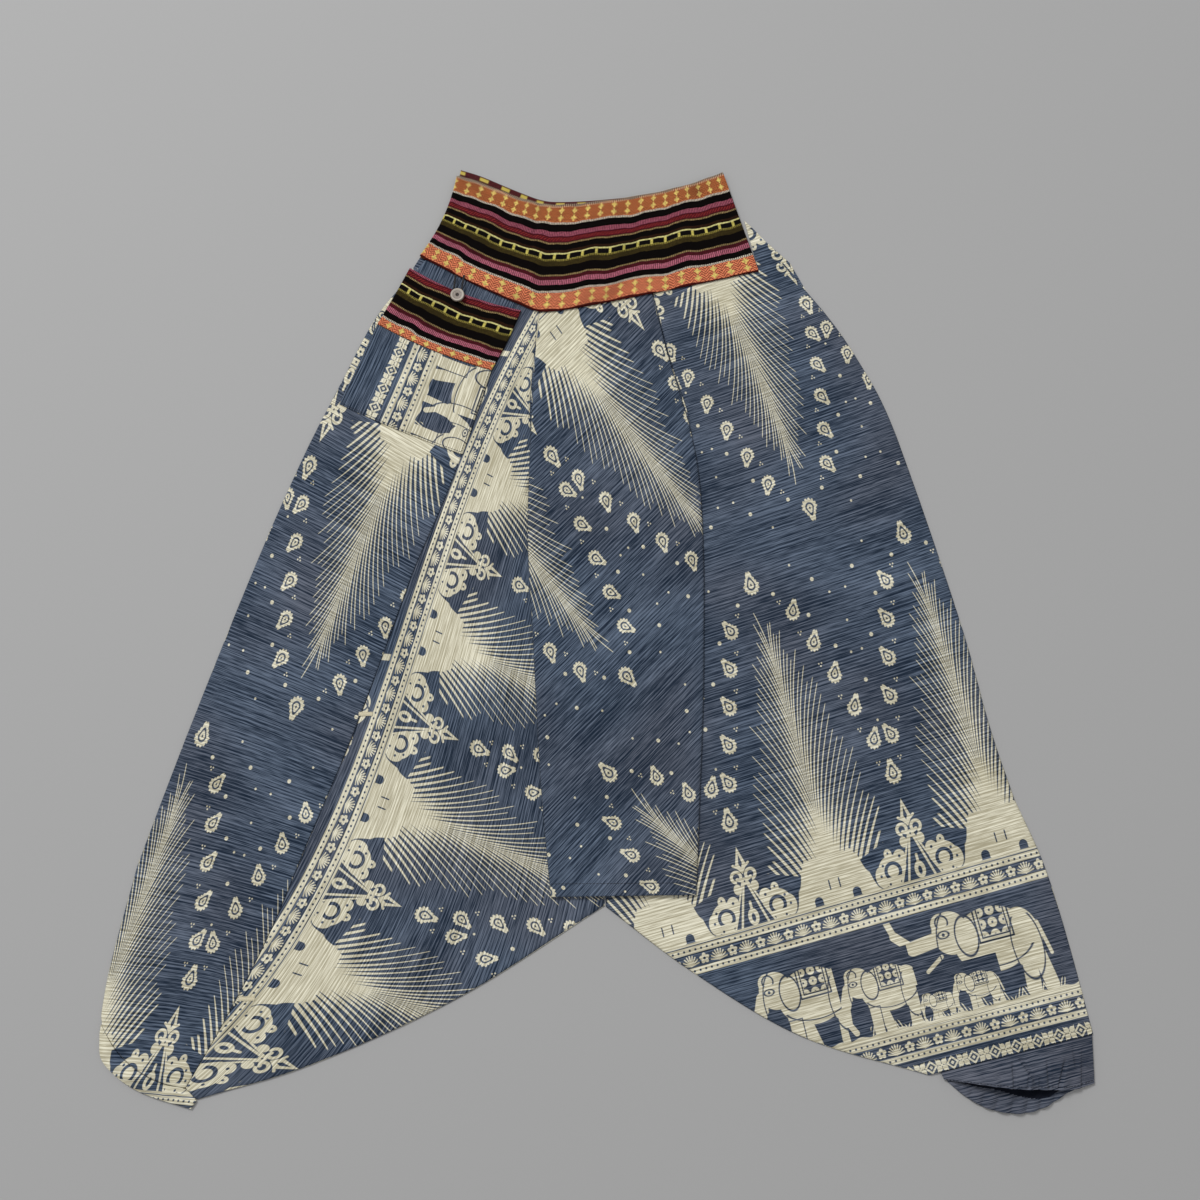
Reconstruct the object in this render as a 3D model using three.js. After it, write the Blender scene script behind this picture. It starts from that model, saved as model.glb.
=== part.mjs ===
import * as THREE from 'three';

// Baggy harem trousers with a low crotch, laid out front side up on a floor at z = 0.
// Millimetres. +Y points at the waist and +X at the wearer's left leg.
// The back panels lie on the floor, the front panels on them, and the cloth of the low
// crotch is laid over the front as one wide box pleat, the centre flap.

// Driving dimensions
const CLOTH = 1.2;
const BAND_CLOTH = 2;
const CLEARANCE = 0.3;
const FRONT_LEVEL = CLOTH + CLEARANCE;
const UPPER_LEVEL = FRONT_LEVEL + CLOTH + CLEARANCE;
const PLEAT_RISE = 4.2;
const PLEAT_START_Y = 260;
const PLEAT_FULL_Y = 150;
const UNDERLAY_INSET = 5;
const UNDERLAY_EDGE = 0.8;
const BAND_WAVES = 10;
const BAND_WAVE_HEIGHT = 1;
const POCKET_LIFT = 1;
const BUTTON_DIAMETER = 15;
const BUTTON_THICKNESS = 2.8;
const RIM_ROUND = 0.8;
const SHANK_DIAMETER = 4.4;
const SHANK_HEIGHT = 2.6;
const LOOP_CORD = 2;
const LOOP_LENGTH = 24;
const LOOP_SPREAD = 9;
const CUFF_ROLL = 3.4;
const RIGHT_GATHERS = 7;
const RIGHT_GATHER_SHARE = 0.5;
const LEFT_GATHERS = 9;
const LEFT_GATHER_SHARE = 0.8;
const MOUTH_GAPE = 12;
const MOUTH_GATHER = 2.6;

// Colours of the dyed cotton, the woven band and the trim
const INDIGO = 0x46566f;
const DEEP_INDIGO = 0x33415a;
const BAND_RED = 0x5a2a28;
const BAND_ORANGE = 0xb35a38;
const BUTTON_BROWN = 0x8a7868;
const CORD_BLACK = 0x1d1a1c;
const COTTON_ROUGHNESS = 0.85;
const BAND_ROUGHNESS = 0.9;
const BUTTON_ROUGHNESS = 0.5;

// Rows of a table with named columns
const table = (columns, rows) =>
  rows.map((row) => Object.fromEntries(columns.map((name, k) => [name, row[k]])));

// Wearer's right leg, front: sections from waist to cuff, across from the outer side over
// the long curved seam to the crotch pleat's inner fold, and below the turn to the inseam
const RIGHT_LEG = table(
  ['sideX', 'sideY', 'seamX', 'seamY', 'foldX', 'foldY', 'bow', 'turn'],
  [
    [-183, 372, -83, 326, -60, 322],
    [-231, 309, -104, 266, -66, 262],
    [-267, 231, -127, 190, -69, 190],
    [-300, 155, -153, 111, -58, 110],
    [-338, 53, -184, 31, -45, 20],
    [-376, -60, -212, -56, -25, -85],
    [-409, -163, -243, -148, -3, -190],
    [-438, -258, -277, -237, 7, -295, 0, 1],
    [-455, -345, -308, -320, -125, -376],
    [-460, -388, -345, -398, -258, -435, 5],
    [-459, -401, -377, -457, -366, -467, 13],
  ],
);

// Wearer's left leg, front: sections from waist to cuff, from the pleat's fold to the side
const LEFT_LEG = table(
  ['foldX', 'foldY', 'sideX', 'sideY', 'bow', 'turn'],
  [
    [57, 341, 196, 368],
    [75, 260, 245, 303],
    [95, 188, 275, 252],
    [94, 127, 299, 200],
    [82, 45, 322, 125],
    [68, -25, 346, 37],
    [52, -100, 366, -42],
    [27, -192, 384, -129],
    [8, -296, 402, -195, 0, 1],
    [87, -354, 426, -258],
    [188, -412, 443, -328],
    [304, -446, 459, -410],
  ],
);

// Centre flap: sections from the waistband down to the folded bottom of the low crotch
const FLAP = table(
  ['leftX', 'leftY', 'rightX', 'rightY'],
  [
    [-59, 322, 56, 341],
    [-65, 262, 74, 260],
    [-68, 190, 94, 188],
    [-70, 127, 104, 127],
    [-70, 59, 107, 45],
    [-65, -19, 106, -25],
    [-60, -100, 104, -100],
    [-54, -187, 99, -192],
    [-44, -287, 94, -285],
  ],
);

// Waistband: sections along it, from its top edge to the edge that the legs are sewn to;
// the back half stands a little above the front half at the wearer's right
const WAISTBAND = table(
  ['frontX', 'frontY', 'backX', 'backY', 'hemX', 'hemY', 'bow'],
  [
    [-152, 470, -148, 478, -189, 375, -6],
    [-130, 463, -125, 470, -170, 364, -3],
    [-93, 447, -88, 453, -132, 343],
    [-62, 437, -60, 442, -86, 321],
    [-40, 435, -38, 440, -58, 311],
    [0, 439, 0, 442, -12, 317],
    [57, 449, 57, 449, 50, 330],
    [100, 460, 99, 459, 114, 344],
    [135, 474, 134, 472, 171, 357],
  ],
);

// Patch pocket on the right hip: sections from the mouth down
const POCKET_BAND = table(
  ['leftX', 'leftY', 'rightX', 'rightY', 'bow'],
  [
    [-199, 361, -80, 312, 6],
    [-214, 330, -95, 275, 5],
    [-231, 297, -110, 245, 4],
  ],
);
const POCKET_BAG = table(
  ['leftX', 'leftY', 'rightX', 'rightY', 'bow'],
  [
    [-231.2, 296.6, -110.2, 244.6, 4],
    [-249, 252, -124, 199, 2],
    [-267, 208, -138, 153, 2],
  ],
);

// Right cuff: the hem of the narrow gathered casing, at shares of the leg's end; share 1 is
// the long seam and 2 the inseam
const RIGHT_HEM = table(
  ['share', 'hemX', 'hemY'],
  [
    [0.05, -461, -411],
    [0.22, -457, -431],
    [0.42, -443, -446],
    [0.62, -424, -458],
    [0.82, -403, -466],
    [1, -385, -471],
    [2, -371, -475],
  ],
);

// Left cuff: the front half gapes from the back half, whose hem hangs lower
const LEFT_CUFF = table(
  ['topX', 'topY', 'frontX', 'frontY', 'backX', 'backY', 'gape'],
  [
    [316, -443.7, 318, -449.5, 322, -452, 0.04],
    [340, -438.1, 341, -452, 338, -465, 0.4],
    [362, -433, 361, -454, 358, -475, 0.85],
    [385, -427.6, 383, -456, 384, -479, 1],
    [410, -421.8, 408, -457, 408, -474, 0.7],
    [436, -415.7, 434, -458, 432, -461, 0.25],
    [457.5, -410.7, 456, -453, 454, -452, 0],
  ],
);

// The largest soft folds of the front, each a ridge that fades at both ends
const FOLDS = table(
  ['fromX', 'fromY', 'toX', 'toY', 'height', 'width'],
  [
    [62, 320, 88, 215, 2.6, 26],
    [120, 315, 225, 290, 1.8, 22],
    [118, 268, 250, 226, 1.6, 24],
    [150, 150, 300, 120, 1.5, 30],
    [150, -60, 330, -110, 1.6, 34],
    [70, -332, 215, -316, 1.8, 24],
    [250, -400, 330, -330, 1.8, 24],
    [395, -395, 385, -300, 2, 20],
    [430, -385, 415, -290, 1.8, 16],
    [345, -415, 350, -350, 1.8, 16],
    [-305, -290, -357, -367, 2.2, 16],
    [-420, -425, -395, -330, 2.2, 14],
    [-440, -405, -425, -310, 2, 14],
    [-390, -435, -370, -370, 2, 13],
    [-300, 120, -215, 60, 1.5, 30],
    [-180, -90, -90, -130, 1.5, 30],
    [-250, -330, -140, -330, 1.8, 26],
    [-142, 446, -96, 396, 1.6, 15],
    [-20, 428, -25, 345, 1.2, 18],
    [80, 446, 92, 360, 1.2, 18],
  ],
);

const clamp = THREE.MathUtils.clamp;
const smoothstep = THREE.MathUtils.smoothstep;
const lerp = THREE.MathUtils.lerp;

// Height that the folds add at a place: a ridge falls to nothing at its width
function foldLift(x, y) {
  let lift = 0;
  for (const fold of FOLDS) {
    const alongX = fold.toX - fold.fromX;
    const alongY = fold.toY - fold.fromY;
    const length = Math.hypot(alongX, alongY);
    const run = ((x - fold.fromX) * alongX + (y - fold.fromY) * alongY) / length;
    const off = ((x - fold.fromX) * alongY - (y - fold.fromY) * alongX) / length;
    const across = clamp(1 - (off / fold.width) ** 2, 0, 1);
    const fade = clamp((4 * run * (length - run)) / length ** 2, 0, 1);
    lift = Math.max(lift, fold.height * across ** 2 * fade);
  }
  return lift;
}

// The flap rises from the waistband to lie on the pleat's hidden layers
const pleatRise = (y) => PLEAT_RISE * (1 - smoothstep(y, PLEAT_FULL_Y, PLEAT_START_Y));

// Value of a column on a smooth line through the rows, 0 where it's left out; a row with
// turn keeps its corner
function through(rows, name, t) {
  const place = t * (rows.length - 1);
  const k = Math.min(Math.floor(place), rows.length - 2);
  const value = (row) => rows[clamp(row, 0, rows.length - 1)][name] ?? 0;
  const isEnd = (row) => row === 0 || row === rows.length - 1 || rows[row].turn;
  const here = value(k);
  const next = value(k + 1);
  const leaving = isEnd(k) ? next - here : (next - value(k - 1)) / 2;
  const arriving = isEnd(k + 1) ? next - here : (value(k + 2) - here) / 2;
  const s = place - k;
  const bend = here * (2 * s ** 3 - 3 * s ** 2 + 1) + next * (3 * s ** 2 - 2 * s ** 3);
  return bend + leaving * (s ** 3 - 2 * s ** 2 + s) + arriving * (s ** 3 - s ** 2);
}

// Place on a panel: v runs down its rows, u across from one named edge to the other
function placeOn(panel, u, v) {
  const startX = through(panel.rows, `${panel.from}X`, v);
  const startY = through(panel.rows, `${panel.from}Y`, v);
  const endX = through(panel.rows, `${panel.to}X`, v);
  const endY = through(panel.rows, `${panel.to}Y`, v);
  const width = Math.hypot(endX - startX, endY - startY);
  const first = (panel.startInset ?? 0) / width;
  const last = 1 - (panel.endInset ?? 0) / width;
  const share = lerp(first, last, u);
  const bow = 4 * share * (1 - share) * through(panel.rows, 'bow', v);
  const x = lerp(startX, endX, share) + (bow * (endY - startY)) / width;
  const y = lerp(startY, endY, share) - (bow * (endX - startX)) / width;
  return { x, y };
}

// Signed volume of a closed triangle mesh
function signedVolume(points, faces) {
  let volume = 0;
  for (let k = 0; k < faces.length; k += 3) {
    const [a, b, c] = faces.slice(k, k + 3).map((n) => points[n]);
    volume += a.dot(new THREE.Vector3().crossVectors(b, c)) / 6;
  }
  return volume;
}

// Closed wall of cloth over a panel's grid, from its underside to its thickness above
function clothWall(panel) {
  const { across, down, underside, thickness } = panel;
  const points = [];
  for (const isTop of [false, true]) {
    for (let j = 0; j <= down; j += 1) {
      for (let i = 0; i <= across; i += 1) {
        const u = i / across;
        const v = j / down;
        const { x, y } = placeOn(panel, u, v);
        const z = underside(x, y, u, v);
        points.push(new THREE.Vector3(x, y, isTop ? z + thickness(x, y, u, v) : z));
      }
    }
  }
  const layer = (across + 1) * (down + 1);
  const at = (i, j) => j * (across + 1) + i;
  const faces = [];
  const quad = (a, b, c, d) => faces.push(a, b, c, a, c, d);
  for (let j = 0; j < down; j += 1) {
    for (let i = 0; i < across; i += 1) {
      const corners = [at(i, j), at(i, j + 1), at(i + 1, j + 1), at(i + 1, j)];
      quad(...corners.map((n) => n + layer));
      quad(...corners.reverse());
    }
  }
  const edges = [];
  for (let j = 0; j < down; j += 1) {
    edges.push([at(0, j), at(0, j + 1)], [at(across, j + 1), at(across, j)]);
  }
  for (let i = 0; i < across; i += 1) {
    edges.push([at(i, down), at(i + 1, down)], [at(i + 1, 0), at(i, 0)]);
  }
  for (const [a, b] of edges) quad(a, b, b + layer, a + layer);
  if (signedVolume(points, faces) < 0) faces.reverse();
  const geometry = new THREE.BufferGeometry().setFromPoints(points);
  geometry.setIndex(faces);
  geometry.computeVertexNormals();
  return geometry;
}

const trousers = new THREE.Group();

function add(name, geometry, color, roughness) {
  const material = new THREE.MeshStandardMaterial({ color, roughness, metalness: 0 });
  const mesh = new THREE.Mesh(geometry, material);
  mesh.name = name;
  trousers.add(mesh);
  return mesh;
}

// A panel of the dyed cotton with its own level, rows and grid
function clothPanel(name, panel, color = INDIGO) {
  const level = panel.level ?? FRONT_LEVEL;
  const underside = (x, y) => level + foldLift(x, y);
  const geometry = clothWall({ thickness: () => CLOTH, underside, ...panel });
  add(name, geometry, color, COTTON_ROUGHNESS);
}

// Flat piece on the floor inside an outline
function floorPiece(name, outline, color) {
  const shape = new THREE.Shape(outline.map(({ x, y }) => new THREE.Vector2(x, y)));
  const geometry = new THREE.ExtrudeGeometry(shape, { depth: CLOTH, bevelEnabled: false });
  add(name, geometry, color, COTTON_ROUGHNESS);
}

// Points of one named edge of a table, between two shares of its rows
function edge(rows, name, count, from = 0, to = 1) {
  return Array.from({ length: count + 1 }, (_, k) => {
    const v = lerp(from, to, k / count);
    return { x: through(rows, `${name}X`, v), y: through(rows, `${name}Y`, v) };
  });
}

const shifted = (points, dx, dy) => points.map(({ x, y }) => ({ x: x + dx, y: y + dy }));

// Both backs meet the waistband's edge and each other at the centre seam; their inseams start
// at the turn of the leg, and their sides where the waistband ends
const BAND_STEPS = 24;
const CENTRE_SEAM = { x: -9, y: 317 };
const SEAM_MARGIN = 4;
const RIGHT_SIDE_START = 0.05;
const LEFT_SIDE_START = 0.045;
const bandEdge = shifted(edge(WAISTBAND, 'hem', BAND_STEPS), 0, -CLEARANCE);
const turnShare = (rows) => rows.findIndex((row) => row.turn) / (rows.length - 1);

// Place on the end of the right leg: share 0 is its side, 1 the long seam and 2 the inseam
function rightEnd(share) {
  const outer = { rows: RIGHT_LEG, from: 'side', to: 'seam' };
  const inner = { rows: RIGHT_LEG, from: 'seam', to: 'fold' };
  return share > 1 ? placeOn(inner, share - 1, 1) : placeOn(outer, share, 1);
}

// Back of the right leg: waistband edge, centre seam, inseam, cuff and outer side
const RIGHT_END_STEPS = 9;
const rightInseam = edge(RIGHT_LEG, 'fold', 12, turnShare(RIGHT_LEG), 1);
const rightSide = edge(RIGHT_LEG, 'side', 22, RIGHT_SIDE_START, 1).reverse();
const rightBandEdge = bandEdge.filter(({ x }) => x < CENTRE_SEAM.x - SEAM_MARGIN);
const endShares = Array.from({ length: RIGHT_END_STEPS }, (_, k) => 1 - k / RIGHT_END_STEPS);
floorPiece(
  'back_right_leg',
  [
    ...rightBandEdge,
    { x: CENTRE_SEAM.x, y: CENTRE_SEAM.y - CLEARANCE },
    ...rightInseam,
    ...endShares.map(rightEnd),
    ...rightSide,
  ],
  INDIGO,
);

// Back of the left leg, whose outer corner shows beside the waistband's end
const leftInseam = edge(LEFT_LEG, 'fold', 12, turnShare(LEFT_LEG), 1).reverse();
const leftSide = edge(LEFT_LEG, 'side', 24, LEFT_SIDE_START, 1);
const leftBandEdge = bandEdge.filter(({ x }) => x > CENTRE_SEAM.x + SEAM_MARGIN);
const SHOWING_CORNER = table(
  ['x', 'y'],
  [
    [171.6, 356.4],
    [166.8, 379],
    [160, 408],
    [157.6, 418],
    [167, 408],
    [180, 393],
    [205, 368],
  ],
);
floorPiece(
  'back_left_leg',
  [
    { x: CENTRE_SEAM.x + CLEARANCE, y: CENTRE_SEAM.y - CLEARANCE },
    ...leftBandEdge,
    ...SHOWING_CORNER,
    ...leftSide,
    ...shifted(leftInseam, CLEARANCE, 0),
  ],
  INDIGO,
);

// Front of the right leg, in two panels that meet at the long curved seam
clothPanel('front_right_outer', {
  rows: RIGHT_LEG,
  from: 'side',
  to: 'seam',
  endInset: CLEARANCE / 2,
  across: 8,
  down: 30,
});
clothPanel('front_right_inner', {
  rows: RIGHT_LEG.map((row) => ({ ...row, bow: 0 })),
  from: 'seam',
  to: 'fold',
  startInset: CLEARANCE / 2,
  endInset: CLEARANCE,
  across: 8,
  down: 30,
});

// Front of the left leg, in one panel
clothPanel('front_left_leg', {
  rows: LEFT_LEG,
  from: 'fold',
  to: 'side',
  startInset: CLEARANCE,
  across: 13,
  down: 33,
});

// Centre flap over the front, and the pleat's hidden layers under it as one rounded piece
clothPanel('front_centre_flap', {
  rows: FLAP,
  from: 'left',
  to: 'right',
  across: 8,
  down: 24,
  underside: (x, y) => FRONT_LEVEL + foldLift(x, y) + pleatRise(y),
});
const UNDERLAY_TOP = FRONT_LEVEL + PLEAT_RISE - CLEARANCE;
clothPanel('pleat_underlay', {
  rows: FLAP.filter(({ leftY }) => leftY < PLEAT_FULL_Y),
  from: 'left',
  to: 'right',
  startInset: UNDERLAY_INSET,
  endInset: UNDERLAY_INSET,
  across: 6,
  down: 12,
  underside: () => UPPER_LEVEL,
  thickness: (x, y, u, v) => {
    const rounded = 1 - Math.abs(2 * u - 1) ** 6;
    const tapered = smoothstep(v, -0.2, 0.25);
    return lerp(UNDERLAY_EDGE, UNDERLAY_TOP - UPPER_LEVEL, rounded * tapered);
  },
});

// Waistband: the back half on the floor and the front half over the legs' top edges, with
// small waves where its top edge is drawn in
const bandWave = (u, v) =>
  (BAND_WAVE_HEIGHT * (1 - u) * (1 + Math.sin(2 * Math.PI * BAND_WAVES * v))) / 2;
add(
  'waistband_back',
  clothWall({
    rows: WAISTBAND,
    from: 'back',
    to: 'hem',
    across: 4,
    down: BAND_STEPS,
    underside: () => 0,
    thickness: () => CLOTH,
  }),
  BAND_RED,
  BAND_ROUGHNESS,
);
add(
  'waistband_front',
  clothWall({
    rows: WAISTBAND,
    from: 'front',
    to: 'hem',
    across: 4,
    down: 40,
    underside: (x, y, u, v) => UPPER_LEVEL + foldLift(x, y) + bandWave(u, v),
    thickness: () => BAND_CLOTH,
  }),
  BAND_ORANGE,
  BAND_ROUGHNESS,
);

// Patch pocket: a bag of the same cotton and a woven band round its mouth
clothPanel(
  'pocket_bag',
  {
    rows: POCKET_BAG,
    from: 'left',
    to: 'right',
    across: 6,
    down: 5,
    underside: () => UPPER_LEVEL,
  },
  DEEP_INDIGO,
);
add(
  'pocket_band',
  clothWall({
    rows: POCKET_BAND,
    from: 'left',
    to: 'right',
    across: 10,
    down: 6,
    underside: (x, y, u, v) => UPPER_LEVEL + POCKET_LIFT * (1 - v) ** 2,
    thickness: () => BAND_CLOTH,
  }),
  BAND_RED,
  BAND_ROUGHNESS,
);

// Shank button on the pocket band, and the cord loop that holds it from the waistband
const BUTTON_PLACE = { x: -147, y: 327 };
const buttonSeat = UPPER_LEVEL + BAND_CLOTH + POCKET_LIFT + CLEARANCE;
const buttonRadius = BUTTON_DIAMETER / 2;
const shankRadius = SHANK_DIAMETER / 2;
const buttonTop = SHANK_HEIGHT + BUTTON_THICKNESS;
const buttonProfile = [
  [0, 0],
  [shankRadius, 0],
  [shankRadius, SHANK_HEIGHT],
  [buttonRadius - RIM_ROUND, SHANK_HEIGHT],
  [buttonRadius, SHANK_HEIGHT + RIM_ROUND],
  [buttonRadius, buttonTop - RIM_ROUND],
  [buttonRadius - RIM_ROUND, buttonTop],
  [buttonRadius - 2 * RIM_ROUND, buttonTop],
  [buttonRadius - 3 * RIM_ROUND, buttonTop - RIM_ROUND],
  [0, buttonTop - RIM_ROUND],
].map(([r, z]) => new THREE.Vector2(r, z));
const buttonGeometry = new THREE.LatheGeometry(buttonProfile, 28);
const button = add('pocket_button', buttonGeometry, BUTTON_BROWN, BUTTON_ROUGHNESS);
button.rotation.x = Math.PI / 2;
button.position.set(BUTTON_PLACE.x, BUTTON_PLACE.y, buttonSeat);

const loopHeight = buttonSeat + LOOP_CORD / 2;
const loopReach = shankRadius + LOOP_CORD / 2 + 3 * CLEARANCE;
const loopPath = new THREE.CatmullRomCurve3(
  [
    [-LOOP_SPREAD / 3, LOOP_LENGTH],
    [-loopReach, LOOP_LENGTH / 3],
    [-loopReach, 0],
    [0, -loopReach],
    [loopReach, 0],
    [loopReach, LOOP_LENGTH / 3],
    [(2 * LOOP_SPREAD) / 3, LOOP_LENGTH],
  ].map(([dx, dy]) => new THREE.Vector3(BUTTON_PLACE.x + dx, BUTTON_PLACE.y + dy, loopHeight)),
);
const cordSection = new THREE.Shape().absarc(0, 0, LOOP_CORD / 2, 0, 2 * Math.PI);
const loopGeometry = new THREE.ExtrudeGeometry(cordSection, {
  extrudePath: loopPath,
  steps: 30,
  curveSegments: 4,
});
add('button_loop', loopGeometry, CORD_BLACK, BAND_ROUGHNESS);

// How far gathers draw a roll in, as a share that falls to the stated part between them
const gathered = (count, share, v) => 1 - (share * (1 - Math.cos(2 * Math.PI * count * v))) / 2;
const endFade = (v) => Math.sin(Math.PI * clamp(v, 0, 1));

// Right cuff: a flat back strip and a rolled, gathered front casing over it
const rightCuff = RIGHT_HEM.map(({ share, hemX, hemY }) => {
  const { x, y } = rightEnd(share);
  return { topX: x - CLEARANCE, topY: y - 3 * CLEARANCE, hemX, hemY };
});
add(
  'cuff_right_back',
  clothWall({
    rows: rightCuff,
    from: 'top',
    to: 'hem',
    across: 1,
    down: 12,
    underside: () => 0,
    thickness: () => CLOTH,
  }),
  DEEP_INDIGO,
  COTTON_ROUGHNESS,
);
add(
  'cuff_right_front',
  clothWall({
    rows: rightCuff,
    from: 'top',
    to: 'hem',
    across: 5,
    down: 42,
    underside: () => FRONT_LEVEL,
    thickness: (x, y, u, v) => {
      const gather = gathered(RIGHT_GATHERS, RIGHT_GATHER_SHARE, v);
      return CLOTH + CUFF_ROLL * Math.sin(Math.PI * u) * gather * Math.sqrt(endFade(v));
    },
  }),
  DEEP_INDIGO,
  COTTON_ROUGHNESS,
);

// Left cuff: the back half lies on the floor with its gathered hem rolled up, and the
// front half arches over it, so that the leg's mouth stands open
add(
  'cuff_left_back',
  clothWall({
    rows: LEFT_CUFF,
    from: 'top',
    to: 'back',
    across: 6,
    down: 45,
    underside: () => 0,
    thickness: (x, y, u, v) => {
      const gather = gathered(LEFT_GATHERS, LEFT_GATHER_SHARE, v);
      return CLOTH + CUFF_ROLL * smoothstep(u, 0.55, 0.85) * gather * endFade(v) ** 2;
    },
  }),
  DEEP_INDIGO,
  COTTON_ROUGHNESS,
);
add(
  'cuff_left_front',
  clothWall({
    rows: LEFT_CUFF,
    from: 'top',
    to: 'front',
    across: 6,
    down: 45,
    underside: (x, y, u, v) => {
      const arch = MOUTH_GAPE * through(LEFT_CUFF, 'gape', v) * smoothstep(u, -0.1, 0.95);
      const gather = MOUTH_GATHER * u * gathered(LEFT_GATHERS, 1, v);
      return FRONT_LEVEL + Math.max(arch, 0) + gather * endFade(v);
    },
    thickness: () => CLOTH,
  }),
  DEEP_INDIGO,
  COTTON_ROUGHNESS,
);

// The origin is the middle of the footprint, on the floor
const middle = new THREE.Box3().setFromObject(trousers).getCenter(new THREE.Vector3());
trousers.position.set(-middle.x, -middle.y, 0);
trousers.updateMatrixWorld(true);

export default trousers;
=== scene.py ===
import functools
import math

import bpy
import numpy as np
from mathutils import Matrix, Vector, noise


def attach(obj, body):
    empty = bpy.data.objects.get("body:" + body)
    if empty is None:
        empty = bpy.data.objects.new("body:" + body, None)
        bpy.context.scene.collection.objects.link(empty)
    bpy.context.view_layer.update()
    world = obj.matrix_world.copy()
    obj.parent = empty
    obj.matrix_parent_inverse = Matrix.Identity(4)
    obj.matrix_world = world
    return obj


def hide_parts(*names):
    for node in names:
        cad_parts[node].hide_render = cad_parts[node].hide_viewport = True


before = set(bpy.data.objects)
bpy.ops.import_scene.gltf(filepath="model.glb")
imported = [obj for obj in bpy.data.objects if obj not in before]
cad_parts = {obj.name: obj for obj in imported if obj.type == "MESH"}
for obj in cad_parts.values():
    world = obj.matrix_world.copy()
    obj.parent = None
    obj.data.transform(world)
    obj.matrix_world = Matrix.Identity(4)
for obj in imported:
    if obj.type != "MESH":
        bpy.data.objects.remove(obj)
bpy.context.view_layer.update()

# The view of the photograph: the pants lie on the floor at its middle, and the camera
# hangs above their lower half, 12.4 degrees from straight down, at 1 mm a pixel.
TILT = math.radians(12.377)
CAMERA_PLACE = (0.0037, -0.2554, 1.1721)
camera = bpy.data.objects.new("camera", bpy.data.cameras.new("camera"))
camera.data.lens = 36
camera.data.sensor_width = 36
camera.location = CAMERA_PLACE
camera.rotation_euler = (TILT, 0, 0)
bpy.context.collection.objects.link(camera)
bpy.context.scene.camera = camera
bpy.context.scene.view_settings.view_transform = "Standard"

# The studio: a plain pale floor under a white sky, and one broad soft lamp from the
# upper left that draws the small shadows of the folds.
FLOOR_SIDE = 6.0
FLOOR_GREY = (0.41, 0.41, 0.41, 1)
SKY_STRENGTH = 0.48
LAMP_PLACE = Vector((-2.0, 2.6, 3.9))
LAMP_SIDE = 1.4
LAMP_WATTS = 145
floor_mesh = bpy.data.meshes.new("floor")
half = FLOOR_SIDE / 2
floor_mesh.from_pydata(
    [(-half, -half, 0), (half, -half, 0), (half, half, 0), (-half, half, 0)], [], [(0, 1, 2, 3)]
)
floor = bpy.data.objects.new("floor", floor_mesh)
bpy.context.collection.objects.link(floor)
floor_finish = bpy.data.materials.new("studio_floor")
floor_finish.use_nodes = True
floor_shader = floor_finish.node_tree.nodes["Principled BSDF"]
floor_shader.inputs["Base Color"].default_value = FLOOR_GREY
floor_shader.inputs["Roughness"].default_value = 0.9
floor_mesh.materials.append(floor_finish)

sky = bpy.data.worlds.new("studio_sky")
sky.use_nodes = True
sky.node_tree.nodes["Background"].inputs["Color"].default_value = (1, 1, 1, 1)
sky.node_tree.nodes["Background"].inputs["Strength"].default_value = SKY_STRENGTH
bpy.context.scene.world = sky
lamp = bpy.data.objects.new("lamp", bpy.data.lights.new("lamp", "AREA"))
lamp.data.size = LAMP_SIDE
lamp.data.energy = LAMP_WATTS
lamp.location = LAMP_PLACE
lamp.rotation_euler = LAMP_PLACE.to_track_quat("Z", "Y").to_euler()
bpy.context.collection.objects.link(lamp)

# The printed cotton: indigo cloth about 1.14 m wide, with the same cream border along both
# selvedges. The shader works the print out from the cloth's own u, along the border, and
# v, up from the border's base line, both in millimetres.
REPEAT = 176.0
CLOTH_RISE = 677.0
INK_EDGE = 0.35


class Number:
    """A value that the shader works out at every point, written with + - * and /."""

    def __init__(self, socket):
        self.socket = socket

    def __add__(self, other):
        return maths("ADD", self, other)

    def __radd__(self, other):
        return maths("ADD", other, self)

    def __sub__(self, other):
        return maths("SUBTRACT", self, other)

    def __rsub__(self, other):
        return maths("SUBTRACT", other, self)

    def __mul__(self, other):
        return maths("MULTIPLY", self, other)

    def __rmul__(self, other):
        return maths("MULTIPLY", other, self)

    def __truediv__(self, other):
        return maths("DIVIDE", self, other)


loom = None  # the node tree that the helpers below add to


def feed(slot, value):
    if isinstance(value, Number):
        loom.links.new(value.socket, slot)
    else:
        slot.default_value = value


def maths(kind, *values):
    node = loom.nodes.new("ShaderNodeMath")
    node.operation = kind
    for slot, value in zip(node.inputs, values):
        feed(slot, value)
    return Number(node.outputs[0])


def vectors(kind, *values, scale=None):
    node = loom.nodes.new("ShaderNodeVectorMath")
    node.operation = kind
    for slot, value in zip(node.inputs, values):
        feed(slot, value)
    if scale is not None:
        feed(node.inputs["Scale"], scale)
    plain = kind in ("LENGTH", "DISTANCE", "DOT_PRODUCT")
    return Number(node.outputs["Value" if plain else "Vector"])


def size(a):
    return maths("ABSOLUTE", a)


def least(a, b):
    return maths("MINIMUM", a, b)


def most(a, *others):
    for b in others:
        a = maths("MAXIMUM", a, b)
    return a


def above(a, level):
    return maths("GREATER_THAN", a, level)


def soft(a, low, high):
    """0 below low, 1 above high and an even curve between."""
    node = loom.nodes.new("ShaderNodeMapRange")
    node.interpolation_type = "SMOOTHSTEP"
    node.clamp = False
    for name, value in (("Value", a), ("From Min", low), ("From Max", high)):
        feed(node.inputs[name], value)
    return Number(node.outputs["Result"])


def share_of(a, whole=1.0):
    """Part of a whole, held between 0 and 1."""
    return least(most(a / whole, 0.0), 1.0)


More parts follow.
